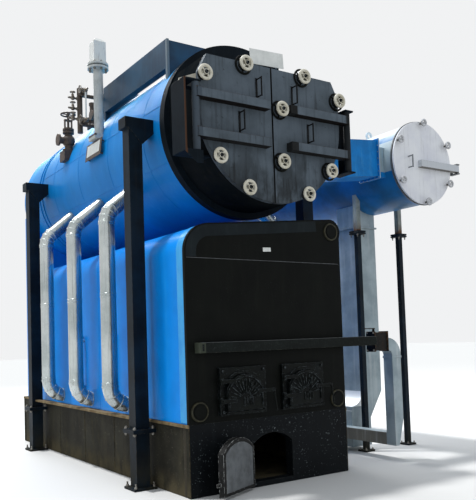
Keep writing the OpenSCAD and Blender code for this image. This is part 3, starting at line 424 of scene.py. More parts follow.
# Nodes that each finish goes on
PAINTED = {
    "base": "ash_pit_side_walls ash_pit_back_wall ash_pit_floor",
    "pit": "ash_pit_front",
    "scale": "grate_bars",
    "end_plate": "front_tube_plate",
    "iron": "ash_door_hinges fire_door_frames fire_door_left fire_door_right",
    "ash_rim": "ash_door",
    "black": "furnace_front_plate wall_headers",
    "charcoal": "shell_front_flange smokebox_hinge_brackets",
    "bar": "air_bar",
    "blue": "shell_drum rear_smokebox",
    "casing": "furnace_casing rear_chamber",
    "skin": "smokebox",
    "door": "smokebox_door_left smokebox_door_right",
    "cream": "handwheels_left handwheels_right",
    "column": "columns_left columns_right preheater_posts",
    "rail": "column_rails",
    "damper": "damper_box",
    "aluminium": "downcomers_left downcomers_right drain_pipes",
    "platform": "platform_frame",
    "controller": "level_controller",
    "valve": "safety_valves steam_stop_valve plate_bracket",
    "flange": "preheater_front_ring",
    "vessel_blue": "preheater_shell",
    "duct_blue": "flue_duct",
    "silver": "preheater_cover",
    "eye": "preheater_clamps",
    "stub": "preheater_saddles",
    "zinc": "air_duct_down air_duct_low air_duct_riser",
}


def make_finishes(blue):
    """Every finish of the boiler; blue is the colour of the shell's cladding."""
    # Gloss enamel on thin rolled cladding sheet: a clear blue that mirrors the sky in long wavy patches; the
    # pale cyan that runs down it in thin streaks and fades in towards the top of the shell is a painted
    # sheen
    M["blue"] = finish(
        "blue_enamel_sheet", blue, "#0679c4", "#6ccdf2", 0.42, patch=1300, streaks=0.1, streak=(50, 0.06),
        grit_depth=0.00005, wave=0.012, wave_size=700, gloss=0.12, fade=(4.7, 3.9), fade_size=900)
    # The same enamel on the furnace walls, painted brighter than on the shell as painted sunlight on them
    M["casing"] = finish(
        "casing_enamel_painted_sunlit", "#0796fa", "#0784e2", "#35a6ee", 0.34, patch=900, streaks=0.2,
        streak=(120, 0.05), grit_depth=0.00005, wave=0.01, wave_size=500, spots=0.15, gloss=0.12)
    # The end strip of the furnace cladding, painted pale blue with paler edges as a painted reflection of
    # the sky on its rounded edge
    M["edge_blue"] = finish(
        "painted_sky_reflection_strip", "#3fb2f2", "#2c9ce8", "#9ad8f6", 0.35, patch=300, streaks=0.3,
        streak=(60, 0.2), grit_depth=0.00005, wear_and_glint="#c8ecfa", gloss=0.3)
    # Blue on the welded gas duct, with the pale zinc of its end flange
    M["duct_blue"] = finish(
        "blue_enamel_plate", "#1084d4", "#1373ba", "#5fb0dc", 0.4, patch=260, streaks=0.3, streak=(40, 0.1),
        grit_depth=0.0001, wave=0.006, wave_size=300, wear_and_glint="#35566a", gloss=0.14,
        zones=[((1.792, 0.0, 3.3), (1.806, 0.6, 3.85), "#b6c2c6"),
               ((1.806, 0.0, 3.42), (2.5, 0.6, 3.85), "#9fb2bc")])
    # The vessel: blue below, its upper side painted pale as painted sunlight, fading in over its top; its
    # neck by the duct is pale grey
    M["vessel_blue"] = finish(
        "blue_vessel_painted_sunlit_top", "#1773b4", "#195a82", "#d2e0e8", 0.42, patch=420, streaks=0.0,
        grit_depth=0.0001, wave=0.006, wave_size=400, gloss=0.2, fade=(3.92, 3.74), fade_size=300,
        zones=[((1.8, 0.0, 3.42), (1.96, 0.6, 4.2), "#9fb2bc"),
               # Pale top of the vessel: painted sunlight
               ((1.8, 0.0, 3.88), (3.0, 3.5, 4.3), "#dfe6ea")])
    # Satin black steel paint under road dust: nearly black, with faint dust
    M["black"] = finish(
        "black_steel_paint", "#0c0e0d", "#111311", "#242621", 0.55, patch=500, streaks=0.25,
        streak=(90, 0.12), spots=0.2, spot=18, gloss=0.06, specks=("#3c4442", 9))
    # The same black on the edge band of the furnace front, sunned to charcoal
    M["band"] = finish(
        "sunned_black_band", "#1d2427", "#181e21", "#30373a", 0.55, patch=260, streaks=0.3, streak=(60, 0.3),
        spots=0.2, gloss=0.08)
    # Black paint on the rolled ring and the hinge brackets, with a blue cast that is a painted reflection;
    # the left bracket's top gusset is painted cream as painted sunlight on its top, the front edge of its
    # web is rusty, and its two lugs carry painted highlights
    ring = {"colour": "#161e25", "shade": "#0f161c", "grime_and_sheen": "#27313a", "rough": 0.6, "patch": 260,
            "streaks": 0.3, "streak": (40, 0.06), "spots": 0.2, "gloss": 0.05}
    M["charcoal"] = finish(
        "ring_paint_with_painted_light", **ring,
        # Cream top of the left gusset: painted sunlight
        zones=[((-1.095, -0.19, 3.905), (-0.86, -0.16, 4.01), "#cbc6b8"),
               ((-1.095, -0.29, 3.1), (-1.07, -0.268, 4.0), "#4d3628"),
               # Painted highlights on the two hinge lugs
               ((-0.97, -0.26, 3.2), (-0.86, -0.11, 3.245), "#4a5058"),
               ((-0.97, -0.26, 3.89), (-0.86, -0.11, 3.915), "#80807a")])
    # The ring paint again on the end plate, its painted blue cast too, with fire-scaled tube ends inside the
    # smokebox
    M["end_plate"] = finish(
        "blue_black_end_plate", **ring, zones=[((-0.6, -0.1, 3.11), (0.6, 0.3, 4.2), "#241f1b")])
    # Air bar: black with pale scratches, its left end bare and greenish; its pale edges are partly worn and
    # partly a painted highlight along its top edge
    M["bar"] = finish(
        "black_bar_with_painted_highlight", "#0f1312", "#171c1b", "#3c4540", 0.5, patch=300, streaks=0.3,
        streak=(18, 0.5), spots=0.5, spot=14, wear_and_glint="#77796e", gloss=0.08, specks=("#6a7270", 10),
        zones=[((-0.91, -0.12, 1.3), (-0.835, 0.02, 1.5), "#3f443a"),
               ((-0.873, -0.12, 1.37), (-0.852, 0.02, 1.435), "#15181a")])
    # Rolled plate of the smokebox skin under heat-blackened paint
    M["skin"] = finish(
        "heat_blackened_paint", "#12171b", "#1b1e20", "#2d2b28", 0.85, patch=350, streaks=0.3, gloss=0.0)
    # Dark grey satin paint on the flat doors, dulled by soot and rain and darker towards the bottom; the
    # seam, the screws' seats and the handles are black, and rust lies on the beams. The beams' undersides
    # and the open left ends of the right beams are painted shade, and the left hinge sleeve is painted
    # lighter than the right one as painted light
    seats = [(x, z) for x, z in SCREWS["left"] + SCREWS["right"]]
    low, face = SMOKE_FACE - 0.0245, SMOKE_FACE - 0.0015
    dark = [((x - 0.06, low, z - 0.06), (x + 0.06, face, z + 0.06), "#15181b") for x, z in seats]
    dark += [((x - 0.03, SMOKE_FACE - 0.2, z - 0.12), (x + 0.03, face, z + 0.12), "#0a0c0e")
             for x, z in HANDLES]
    dark += [((-0.032, SMOKE_FACE - 0.01, 2.0), (-0.012, SMOKE_FACE + 0.1, 4.4), "#07080a"),
             # Left hinge sleeve: painted lighter than the right one, as painted light
             ((-1.0, -0.33, 3.2), (-0.905, -0.12, 3.95), "#4a545e"),
             ((0.905, -0.33, 3.2), (1.0, -0.12, 3.95), "#15191c")]
    for z in (SHELL_Z + 0.085, SHELL_Z - 0.295):
        dark.append(((-0.96, -0.3, z + 0.0425), (0.96, SMOKE_FACE - 0.002, z + 0.05), "#4b3a2e"))
        # Painted shade under each beam
        dark.append(((-0.96, -0.3, z - 0.05), (0.96, SMOKE_FACE - 0.002, z - 0.0425), "#120d0b"))
        # Painted shade on the open left ends of the right beams
        dark.append(((0.14, SMOKE_FACE - 0.1, z - 0.05), (0.235, SMOKE_FACE - 0.002, z + 0.05), "#141516"))
    M["door"] = finish(
        "grey_door_paint_with_painted_light", "#616c76", "#505a62", "#33373a", 0.62, patch=380, streaks=0.55, streak=(34, 0.06),
        spots=0.6, spot=30, wear_and_glint="#1f1a17", zones=dark, gloss=0.12, fade=(2.75, 3.75))
    # Grimy steel panels of the base: olive brown, rust and dust run down from the top
    M["base"] = finish(
        "grimy_base_panels", "#302f27", "#201f1a", "#554e3c", 0.72, patch=300, streaks=0.3,
        streak=(150, 0.3), spots=0.35, spot=30, wear_and_glint="#77694c", fade=(0.0, 0.25), gloss=0.1,
        specks=("#8c8674", 14))
    # Front of the ash pit: the black of the furnace front, spattered white; its ends are base panels
    M["pit"] = finish(
        "spattered_black_front", "#0f1316", "#0b0f12", "#1f2427", 0.5, patch=300, streaks=0.3, spots=0.0,
        wear_and_glint="#4a4d4a", gloss=0.08, specks=("#9aa4a6", 15),
        zones=[((PIT[0].x - 0.01, -0.1, -0.1), (PIT[0].x + 0.003, 0.5, 0.9), "#3c372c"),
               ((PIT[1].x - 0.003, -0.1, -0.1), (PIT[1].x + 0.01, 0.5, 0.9), "#3c372c")])
    # Sand-cast iron, brushed with black, with bare grey where hands and heat have rubbed it; these pale worn
    # edges also serve as painted glints on the ribs and frames
    M["iron"] = finish(
        "cast_iron", "#080b0c", "#0e120f", "#1c2123", 0.42, patch=120, streaks=0.4, spots=0.5, grit=5,
        grit_depth=0.0014, wear_and_glint="#737c80", gloss=0.08, specks=("#7f8a8e", 9))
    # Rim of the old ash door: black scale with chips of white
    M["ash_rim"] = finish(
        "chipped_black_iron", "#1b1c1c", "#262626", "#3a3835", 0.6, patch=60, streaks=0.4, spots=0.6, grit=6,
        grit_depth=0.0015, wear_and_glint="#d4d6d3", edge=0.008, gloss=0.1, specks=("#c4c6c2", 14))
    # Its flat inner plate: pale grey scale with soft dark stains
    M["ash_plate"] = finish(
        "grey_scaled_plate", "#6d7174", "#5c5f61", "#45474a", 0.65, patch=90, streaks=0.45, streak=(30, 0.3),
        spots=0.4, grit=6, grit_depth=0.0008, wear_and_glint="#c0c2c0", gloss=0.25)
    # Rail angle along the base, tan with dust
    M["rail"] = finish(
        "dusty_tan_rail", "#8a7a5c", "#6b5a40", "#3d342a", 0.8, patch=90, streaks=0.4, spots=0.5, gloss=0.15)
    # Damper box: dark oily plate with rust on its edges
    M["damper"] = finish(
        "oily_damper_plate", "#070707", "#100d0b", "#4a2e1a", 0.5, patch=50, streaks=0.3, spots=0.6, spot=12,
        wear_and_glint="#9a6a3c", edge=0.006, gloss=0.15, specks=("#8f7a54", 10))
    # Black-painted columns, brown with dust near the ground; the blue cast in the black is a painted
    # reflection
    M["column"] = finish(
        "dusty_black_columns_painted_blue_reflection", "#09121a", "#10202c", "#2c2c27", 0.5, patch=260, streaks=0.35,
        streak=(40, 0.04), wear_and_glint="#5d574a", fade=(0.0, 0.5), gloss=0.1)
    # Enamelled handwheels: cream, chipped dark at the edges
    M["cream"] = finish(
        "cream_enamel", "#e2dece", "#cdc7b2", "#5f5a4e", 0.35, patch=60, streaks=0.3, streak=(14, 0.4),
        spots=0.5, spot=9, wear_and_glint="#8a8066", edge=0.003)
    # Rolled aluminium jacket: bright, with soft dents; its dark vertical streaks are partly the draw of the
    # sheet and partly painted reflections
    M["aluminium"] = finish(
        "aluminium_jacket_with_painted_reflections", "#c6cccb", "#a9b1b1", "#5f625d", 0.26, metallic=0.95, patch=420,
        streaks=0.6, streak=(11, 0.015), wave=0.004, wave_size=110, grit_depth=0.00008)
    # Galvanised duct sheet: pale blue-grey zinc with spangle and white bloom; the low duct's top and the
    # curved foot of the down duct are painted near white as painted sunlight
    M["zinc"] = finish(
        "galvanised_sheet", "#a5b4ba", "#87979e", "#cfd4d4", 0.45, metallic=0.25, patch=300, streaks=0.4,
        streak=(60, 0.06), wave=0.008, wave_size=300, spangle=28, wear_and_glint="#7d6a56",
        zones=[((1.735, 0.145, 0.1), (1.745, 1.3, 0.495), "#7b7970"),
               # Painted sunlight on the low duct's top
               ((1.7, 0.13, 0.499), (1.885, 1.3, 0.51), "#dfe5e3"),
               # Painted sunlight on the curved foot of the down duct
               ((1.87, 0.85, 0.555), (2.0795, 1.25, 0.74), "#f4f8f8")])
    # Dark blue-black structural paint of the platform; its corner posts are bare grey
    M["platform"] = finish(
        "dark_blue_structural_paint", "#1b4763", "#123048", "#4f6f86", 0.5, patch=420, streaks=0.3,
        wear_and_glint="#8fa0ac", gloss=0.25,
        zones=[((-0.76, 0.6, 4.1), (-0.71, 0.6955, 4.8), "#6f7c85"),
               ((0.71, 0.6, 4.1), (0.76, 0.6955, 4.8), "#6f7c85")])
    # Pale grey machine paint of the level controller; its water column is iron brown
    M["controller"] = finish(
        "pale_grey_machine_paint", "#b3b9b9", "#c9cdcb", "#6a655b", 0.45, patch=120, streaks=0.35,
        streak=(20, 0.15), spots=0.4,
        zones=[((-1.2, 2.05, 4.0), (-0.966, 2.5, 4.7), "#41352c"),
               ((-0.966, 2.27, 4.0), (-0.2, 2.5, 4.7), "#41352c"),
               ((-1.05, 2.0, 4.92), (-0.7, 2.4, 5.35), "#dfe2df")])
    # Valve bodies: brown primer over cast iron, oily and rust-flecked
    M["valve"] = finish(
        "oily_primed_iron", "#4d3b30", "#322a25", "#1c1815", 0.55, patch=50, streaks=0.5, streak=(14, 0.3),
        spots=0.5, spot=14, grit_depth=0.0008, wear_and_glint="#9a8468")
    # Cast cocks of the water gauge, pale where hands have rubbed the brown primer off
    M["cocks"] = finish(
        "rubbed_cast_cocks", "#7d7468", "#4b4037", "#2a231d", 0.42, metallic=0.35, patch=40, streaks=0.4,
        streak=(14, 0.4), spots=0.5, spot=12, wear_and_glint="#c9c3b6")
    # Silver-white heat paint of the round cover, with soot round the bolts; the arm is grey, the handle
    # darker, and a dark strip under the arm is painted shade
    M["silver"] = finish(
        "silver_heat_paint_painted_shade", "#f2f4f8", "#e4e6ee", "#a9aaac", 0.42, patch=300, streaks=0.25,
        streak=(30, 0.1), spots=0.45, spot=18, wear_and_glint="#8d867a",
        zones=[((2.30, -0.095, 3.486), (3.0, -0.031, 3.57), "#c9ced4"),
               # Painted shade under the arm
               ((2.29, -0.095, 3.478), (3.0, -0.031, 3.486), "#57534d"),
               ((2.115, -0.11, 3.45), (2.155, -0.031, 3.62), "#7d8388")])
    # The same paint on the clamps, rubbed to dark iron
    M["eye"] = finish(
        "rubbed_silver_clamps", "#d8dade", "#b4b5b8", "#4f4b46", 0.45, patch=40, streaks=0.5,
        streak=(14, 0.5), spots=0.8, spot=14, wear_and_glint="#6b665e",
        zones=[((1.8, -0.0895, 2.9), (3.0, -0.03, 4.2), "#5a5751")])
    # Weld rings round the header caps, bronzed by heat
    M["cap"] = finish(
        "bronzed_header_weld", "#24251c", "#322f20", "#4b452f", 0.45, patch=60, streaks=0.3, wear_and_glint="#77745c",
        gloss=0.2)
    # Grey primer of the cover's flange and of the seam on the furnace front, also the painted highlight line
    # on the air bar
    M["flange"] = finish(
        "grey_flange_primer", "#62666a", "#4f5255", "#35322f", 0.5, patch=90, streaks=0.5)
    # Pale primed stubs, rusty at their weld
    M["stub"] = finish(
        "pale_primed_stub", "#9aa29c", "#828a86", "#6b4a30", 0.6, patch=80, streaks=0.4, fade=(2.8, 2.96),
        zones=[((1.9, 0.6, 2.79), (2.9, 3.1, 2.824), "#6e4328")])
    # Zinc-plated bolts, dull grey
    M["bolt"] = finish(
        "dull_zinc_bolts", "#8b8a84", "#68625a", "#3a2f27", 0.45, metallic=0.6, patch=20, streaks=0.3)
    # Bare white plastic-coated plate
    M["white"] = finish(
        "white_coated_plate", "#eef0ec", "#e0e3df", "#a9aba6", 0.4, patch=90, streaks=0.2)
    # Furnace grate and tube ends, scaled dark by fire
    M["scale"] = finish(
        "fire_scaled_steel", "#2a2420", "#1c1815", "#403730", 0.85, patch=60, streaks=0.3, grit=6,
        grit_depth=0.002, gloss=0.1)


# Pieces

def furnace_outline(offset, steps=24, roof=1.5):
    """Furnace cladding from its left foot up, round the edge and along the sloping roof; offset is outwards.
    A straight side, a quarter circle of 275 mm, then a straight slope of 5 degrees."""
    radius, slope = 0.275 + offset, math.radians(5)
    cx, cz = -0.7, 2.328
    t = np.linspace(math.pi, math.pi / 2 + slope, steps)
    out = np.stack([np.cos(t), 0 * t, np.sin(t)], 1)
    arc = np.array([cx, 0, cz]) + radius * out
    top = arc[-1] + np.array([math.cos(slope), 0, math.sin(slope)]) * np.linspace(0.02, roof, 4)[:, None]
    foot = np.array([[cx - radius, 0, z] for z in (PIT[1].z + 0.012, 1.4, 2.2)])
    return (np.concatenate([foot, arc, top]),
            np.concatenate([np.tile(-X, (3, 1)), out, np.tile(out[-1], (4, 1))]))


class OBJECT_OT_boiler_stage(Operator):
    """Build the floor, the light and the camera"""

    bl_idname = "boiler.stage"
    bl_label = "Stage"

    def execute(self, context):
        settings = context.scene.boiler_stage
        scene = context.scene
        floor = bpy.data.materials.new("pale_floor")
        floor.use_nodes = True
        tree = floor.node_tree
        tree.nodes.clear()
        tone = blended(tree, seen(tree), linear("#a8a8a6"), linear(scene.boiler_colours.floor))
        skin = add(tree, "BsdfPrincipled", {}, {"Base Color": tone, "Roughness": 0.9,
                                                "Specular IOR Level": 0.2})
        add(tree, "OutputMaterial", {}, {"Surface": skin.outputs[0]})
        mesh = bpy.data.meshes.new("floor")
        points, faces = grid(np.array([[[x, y, -0.003] for y in (-60, 60)] for x in (-60, 60)], float))
        mesh.from_pydata(points.tolist(), [], faces[:, ::-1].tolist())
        mesh.materials.append(floor)
        ground = bpy.data.objects.new("floor", mesh)
        scene.collection.objects.link(ground)
        world = bpy.data.worlds.new("sky")
        world.use_nodes = True
        scene.world = world
        tree = world.node_tree
        tree.nodes.clear()
        sky = add(tree, "Background", {}, {"Color": (*linear("#eef4fb"), 1), "Strength": settings.sky})
        back = add(tree, "Background", {}, {"Color": (*linear("#f1f2f3"), 1), "Strength": 1.0})
        mix = add(tree, "MixShader", {}, {0: seen(tree), 1: sky.outputs[0], 2: back.outputs[0]})
        add(tree, "OutputWorld", {}, {"Surface": mix.outputs[0]})
        lamp = bpy.data.lights.new("sun", "SUN")
        lamp.energy = settings.sun
        lamp.angle = math.radians(4)
        soft = bpy.data.lights.new("bright_sky", "AREA")
        soft.shape, soft.size, soft.size_y, soft.energy = "RECTANGLE", 8, 5, 1700
        lamps = ((lamp, (0, 0, 12), (0.22, -0.2, -1)), (soft, (1.5, 12, 11), (-0.25, -1, -0.75)))
        for source, place, away in lamps:
            away = unit(away)
            side = unit(np.cross(Y, -away))
            light = bpy.data.objects.new(source.name, source)
            light.matrix_world = Matrix(np.stack([side, np.cross(-away, side), -away], 1).tolist()).to_4x4()
            light.matrix_world.translation = place
            light.visible_camera = False
            scene.collection.objects.link(light)
        camera = bpy.data.objects.new("camera", bpy.data.cameras.new("camera"))
        camera.data.sensor_width = 36
        camera.data.lens = 49.75
        camera.data.shift_y = 0.096
        camera.data.clip_end = 300
        yaw, pitch, roll = math.radians(33.88), math.radians(3.17), math.radians(-1.89)
        ahead = np.array([math.sin(yaw) * math.cos(pitch), math.cos(yaw) * math.cos(pitch), math.sin(pitch)])
        right = np.array([math.cos(yaw), -math.sin(yaw), 0])
        up = np.cross(right, ahead)
        c, s = math.cos(roll), math.sin(roll)
        right, up = c * right + s * up, c * up - s * right
        pose = Matrix(np.stack([right, up, -ahead], 1).tolist()).to_4x4()
        pose.translation = (-4.21, -5.694, 1.5)
        camera.matrix_world = pose
        scene.collection.objects.link(camera)
        scene.camera = camera
        scene.view_settings.view_transform = "Standard"
        return {"FINISHED"}


class OBJECT_OT_boiler_finishes(Operator):
    """Paint the CAD solids"""

    bl_idname = "boiler.finishes"
    bl_label = "Finishes"

    def execute(self, context):
        make_finishes(context.scene.boiler_colours.blue)
        for name, nodes in PAINTED.items():
            dress(M[name], *nodes.split())
        return {"FINISHED"}


class OBJECT_OT_boiler_base_trim(Operator):
    """Cover strips, corner angles and top lip of the base"""

    bl_idname = "boiler.base_trim"
    bl_label = "Base trim"

    def execute(self, context):
        left, right = PIT[0].x, PIT[1].x
        front, back, top = PLATE[0].y, 5.15, PIT[1].z
        lip_z = top - 0.015
        parts, lips = [], []
        for x, out in ((left, -X), (right, X)):
            for y in (0.86, 1.75, 2.65, 3.55, 4.45):
                parts.append(carried(strip(0.035, 0.004), line((x, y, 0.02), (x, y, top - 0.03)), out))
            lips.append(carried(strip(0.03, 0.012), line((x, front, lip_z), (x, back, lip_z)), out))
            for y, way in ((front, Y), (back, -Y)):
                corner = np.array([x, y, 0]) + 0.03 * way
                path = line(corner + 0.01 * Z, corner + (top - 0.03) * Z)
                parts.append(carried(strip(0.06, 0.006), path, out))
            foot = np.array([x, back, 0.01]) - 0.03 * out
            parts.append(carried(strip(0.06, 0.006), line(foot, foot + (top - 0.04) * Z), Y))
        lips.append(carried(strip(0.03, 0.010), line((left, back, lip_z), (right, back, lip_z)), Y))
        piece("base_cover_strips", parts, M["base"])
        piece("base_top_lip", lips, M["rail"])
        return {"FINISHED"}


class OBJECT_OT_boiler_cladding_laps(Operator):
    """Lap bands and rivets of the blue cladding"""

    bl_idname = "boiler.cladding_laps"
    bl_label = "Cladding laps"

    def execute(self, context):
        sizes = context.scene.boiler_sizes
        section = strip(sizes.lap_width, sizes.lap_height)
        thin = strip(0.02, 0.003)
        parts, heads = [], []
        for y in (0.95, 1.9, 2.85, 3.8):
            path, out = circle((0, y, SHELL_Z), SHELL_R, steps=160)
            parts.append(carried(section, path, out, loop=True))
        for y in (4.3, 4.42):
            path, out = circle((0, y, SHELL_Z), SHELL_R, steps=160)
            parts.append(carried(strip(0.03, 0.012, soft=0.004), path, out, loop=True))
        for angle in (167.6, 12.4, 205, 335):
            out = np.array([math.cos(math.radians(angle)), 0, math.sin(math.radians(angle))])
            foot = np.array([0, 0, SHELL_Z]) + SHELL_R * out
            parts.append(carried(thin, line(foot + 0.52 * Y, foot + 5.1 * Y), out))
            along = np.linspace(0.6, 5.0, 30)[:, None] * Y
            heads += rivets(foot + 0.003 * out + along, out, 0.005)
        piece("cladding_lap_bands", parts, M["blue"])
        path, out = furnace_outline(0)
        parts = []
        for y in (1.16, 2.16, 3.16, 4.16):
            parts.append(carried(section, path + y * Y, out))
            spots = path[::2] + y * Y + out[::2] * sizes.lap_height
            heads += rivets(spots, out[::2], 0.005)
        piece("furnace_lap_bands", parts, M["casing"])
        piece("cladding_rivets", heads, M["blue"])
        # The pale end strip along the furnace's front edge carries a painted sky reflection
        end = carried(strip(0.17, 0.005, soft=0.004), path + 0.088 * Y, out)
        piece("furnace_end_strip", [end], M["edge_blue"])
        return {"FINISHED"}


class OBJECT_OT_boiler_pipe_beads(Operator):
    """Beads and gore seams of the clad downcomers"""

    bl_idname = "boiler.pipe_beads"
    bl_label = "Pipe beads"

    def execute(self, context):
        bead = context.scene.boiler_sizes.bead
        radius, bend, low, high = 0.0875, 0.2, 0.795, 2.9
        turn = math.atan2(0.435, 0.365)
        reach = bend * math.tan(turn / 2)
        ring = [(radius - 0.003, -bead), (radius + bead * 0.6, -bead * 0.6), (radius + bead * 0.85, 0),
                (radius + bead * 0.6, bead * 0.6), (radius - 0.003, bead)]
        for side, name in ((-1, "left"), (1, "right")):
            centres, axes = [], []
            for y in (1.4, 2.42, 3.44):
                for z in (1.0, 1.035, 1.98, 2.015, high - reach - 0.02):
                    centres.append((side * PIPE_X, y, z))
                    axes.append(Z)
                for t in np.radians([0, 30, 60, 90]):
                    x = side * (PIPE_X - bend + bend * math.cos(t))
                    centres.append((x, y, low + bend - bend * math.sin(t)))
                    axes.append((side * math.sin(t), 0, math.cos(t)))
                for t in np.linspace(0, turn, 4):
                    x = side * (PIPE_X - bend + bend * math.cos(t))
                    centres.append((x, y, high - reach + bend * math.sin(t)))
                    axes.append((-side * math.sin(t), 0, math.cos(t)))
            piece("downcomer_beads_" + name, [turned(ring, centres, axes, 40, loop=True)], M["aluminium"])
        return {"FINISHED"}


class OBJECT_OT_boiler_smokebox_trim(Operator):
    """Sign plate, wheel nuts and black rings for the handwheels' shadows on the smokebox doors"""

    bl_idname = "boiler.smokebox_trim"
    bl_label = "Smokebox trim"

    def execute(self, context):
        for side, places in SCREWS.items():
            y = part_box("handwheels_" + side)[0].y
            centres = [(x, y + 0.012, z) for x, z in places]
            parts = nuts(centres, -Y, 0.036, 0.022, 0.5)
            washer = [(0.0, 0.0), (0.03, 0.0), (0.03, 0.006), (0.026, 0.008), (0.0, 0.008)]
            parts.append(turned(washer, centres, -Y))
            piece("wheel_nuts_" + side, parts, M["iron"], "smokebox_leaf_" + side)
            # Black rings behind some handwheels stand in for their shadows on the doors: a painted shadow
            shadow_spots = WHEEL_SHADOWS[side]
            centres = [(x, SMOKE_FACE - 0.01, z) for x, z in shadow_spots]
            rim = [(0.08, -0.007), (0.088, -0.01), (0.096, -0.007), (0.099, 0.0), (0.096, 0.007),
                   (0.088, 0.01), (0.08, 0.007), (0.077, 0.0)]
            parts = [turned(rim, centres, -Y, 32, loop=True)]
            for x, z in shadow_spots:
                for turn in np.radians([20, 140, 260]):
                    out = np.array([math.cos(turn), 0, math.sin(turn)])
                    hub = np.array([x, SMOKE_FACE - 0.01, z])
                    path = line(hub + 0.05 * out, hub + 0.085 * out)
                    parts.append(carried(rounded(0.016, 0.01, 0.003), path, Y))
            piece("wheel_shadow_rings_" + side, parts, M["black"], "smokebox_leaf_" + side)
        path = line((-0.229, -0.125, 4.329), (0.194, -0.125, 4.35))
        plate = carried(rounded(0.003, 0.158, 0.0008), path, Z)
        piece("bare_sign_plate", [plate], M["white"])
        stems = [carried(rounded(0.02, 0.004, 0.001), line((x, -0.1215, 4.212), (x, -0.1215, 4.36)), Y)
                 for x in (-0.15, 0.12)]
        piece("sign_stems", stems, M["black"])
        return {"FINISHED"}


class OBJECT_OT_boiler_front_trim(Operator):
    """Edge band, seam, tag, header welds, door ribs and screws of the furnace front, and a painted highlight
    line on the air bar
    """

    bl_idname = "boiler.front_trim"
    bl_label = "Front trim"

    def execute(self, context):
        face = PLATE[0].y
        edge = furnace_outline(-0.062, roof=1.38)[0][3:]
        edge = np.concatenate([[(edge[0][0], 0, 2.276)], edge]) + face * Y
        piece("front_edge_band", [carried(strip(0.115, 0.0025), edge, -Y)], M["band"])
        joint = line((-0.965, face, 2.2685), (0.955, face, 2.2585))
        # A thin grey line along the air bar's top front edge is a painted highlight
        bar_highlight = line((-0.885, -0.1, 1.4495), (1.4, -0.1, 1.4495))
        seam = [carried(strip(0.005, 0.002, soft=0.001), joint, -Y),
                carried(strip(0.003, 0.001, 0.001, 0.0005), bar_highlight, -Y)]
        piece("seam_and_bar_highlight", seam, M["flange"])
        path = line((-0.061, face - 0.001, 2.378), (0.038, face - 0.001, 2.382))
        tag = carried(rounded(0.002, 0.042, 0.0005), path, Z)
        piece("bare_front_tag", [tag], M["white"])
        weld = [(0.078, -0.002), (0.081, 0.005), (0.087, 0.007), (0.093, 0.004), (0.096, -0.004),
                (0.097, -0.0115)]
        centres = [(x, face - 0.0115, z) for x, z in HEADERS]
        piece("header_welds", [turned(weld, centres, -Y, 48)], M["cap"])
        ribs = context.scene.boiler_sizes.ribs
        screws = []
        for side, x in FIRE_X.items():
            middle = np.array([x, FIRE_FACE - 0.002, 0.886])
            parts = []
            for turn in np.radians(np.linspace(12, 168, ribs)):
                out = np.array([math.cos(turn), 0, math.sin(turn)])
                reach = min(0.2, 0.172 / max(abs(math.cos(turn)), 0.01))
                path = line(middle + 0.06 * out, middle + reach * out)
                parts.append(carried(rounded(0.007, 0.008, 0.002), path, Y))
            arch = np.radians(np.linspace(28, 152, 25))
            border = middle + 0.222 * np.stack([np.cos(arch), 0 * arch, np.sin(arch)], 1)
            border = np.concatenate([[border[0] - 0.17 * Z], border, [border[-1] - 0.17 * Z]])
            parts.append(carried(disc(0.006, 8), border, Y))
            piece("fire_door_ribs_" + side, parts, M["iron"], "fire_leaf_" + side)
            screws += [(x + dx, -0.045, z) for dx in (-0.24, 0.24) for z in (0.775, 1.165)]
        piece("fire_frame_screws", nuts(screws, -Y, 0.026, 0.014, 0.5), M["iron"])
        return {"FINISHED"}


class OBJECT_OT_boiler_ash_plate(Operator):
    """Flat inner plate on the open ash door"""

    bl_idname = "boiler.ash_plate"
    bl_label = "Ash door plate"

    def execute(self, context):
        turn = math.radians(ASH_OPEN)
        along = np.array([math.cos(turn), math.sin(turn), 0])
        out = np.array([-math.sin(turn), math.cos(turn), 0])
        half, spring, rise, foot = 0.235, 0.415, 0.085, 0.062
        radius = (half ** 2 + rise ** 2) / (2 * rise)
        limit = math.asin(half / radius)
        t = np.linspace(limit, -limit, 25)
        middle = 0.012 + 0.545 / 2
        arch = np.stack([middle + radius * np.sin(t), spring + rise - radius + radius * np.cos(t)], 1)
        outline = np.concatenate([[(middle - half, foot), (middle + half, foot)], arch])
        hinge = np.array(ASH_HINGE) + 0.03 * out
        plate = slab(outline, hinge, along, out, 0.006)
        piece("ash_door_plate", [plate], M["ash_plate"], "ash_leaf")
        return {"FINISHED"}


class OBJECT_OT_boiler_gauge_cocks(Operator):
    """Gauge cocks and their glass on the water column beside the level stand"""

    bl_idname = "boiler.gauge_cocks"
    bl_label = "Gauge cocks"

    def execute(self, context):
        x, y = GAUGE
        parts = []
        for z in (SHELL_Z + 0.5, SHELL_Z + 0.87):
            parts += cock((x, y - 0.13, z), -Y, -X, 0.14, 0.045)
        for z in (SHELL_Z + 0.56, SHELL_Z + 0.69, SHELL_Z + 0.82):
            parts += cock((x - 0.03, y, z), -X, Z, 0.12, 0.03)
        piece("gauge_cocks", parts, M["cocks"])
        glass = carried(disc(0.011, 12), line((x, y - 0.2, SHELL_Z + 0.51), (x, y - 0.2, SHELL_Z + 0.86)), Y)
        piece("gauge_glass", [glass], M["white"])
        return {"FINISHED"}


class OBJECT_OT_boiler_number_plate(Operator):
    """Bare white plate on its bracket at the shell's left side"""

    bl_idname = "boiler.number_plate"
    bl_label = "Number plate"

    def execute(self, context):
        tilt = math.radians(8)
        out = np.array([-math.cos(tilt), 0, math.sin(tilt)])
        up = np.array([math.sin(tilt), 0, math.cos(tilt)])
        middle = np.array([0, 0, SHELL_Z]) + (SHELL_R + 0.0455) * out + 0.013 * up
        plate = carried(rounded(0.003, 0.143, 0.001), line(middle + 2.03 * Y, middle + 2.42 * Y), up)
        piece("bare_number_plate", [plate], M["white"])
        return {"FINISHED"}


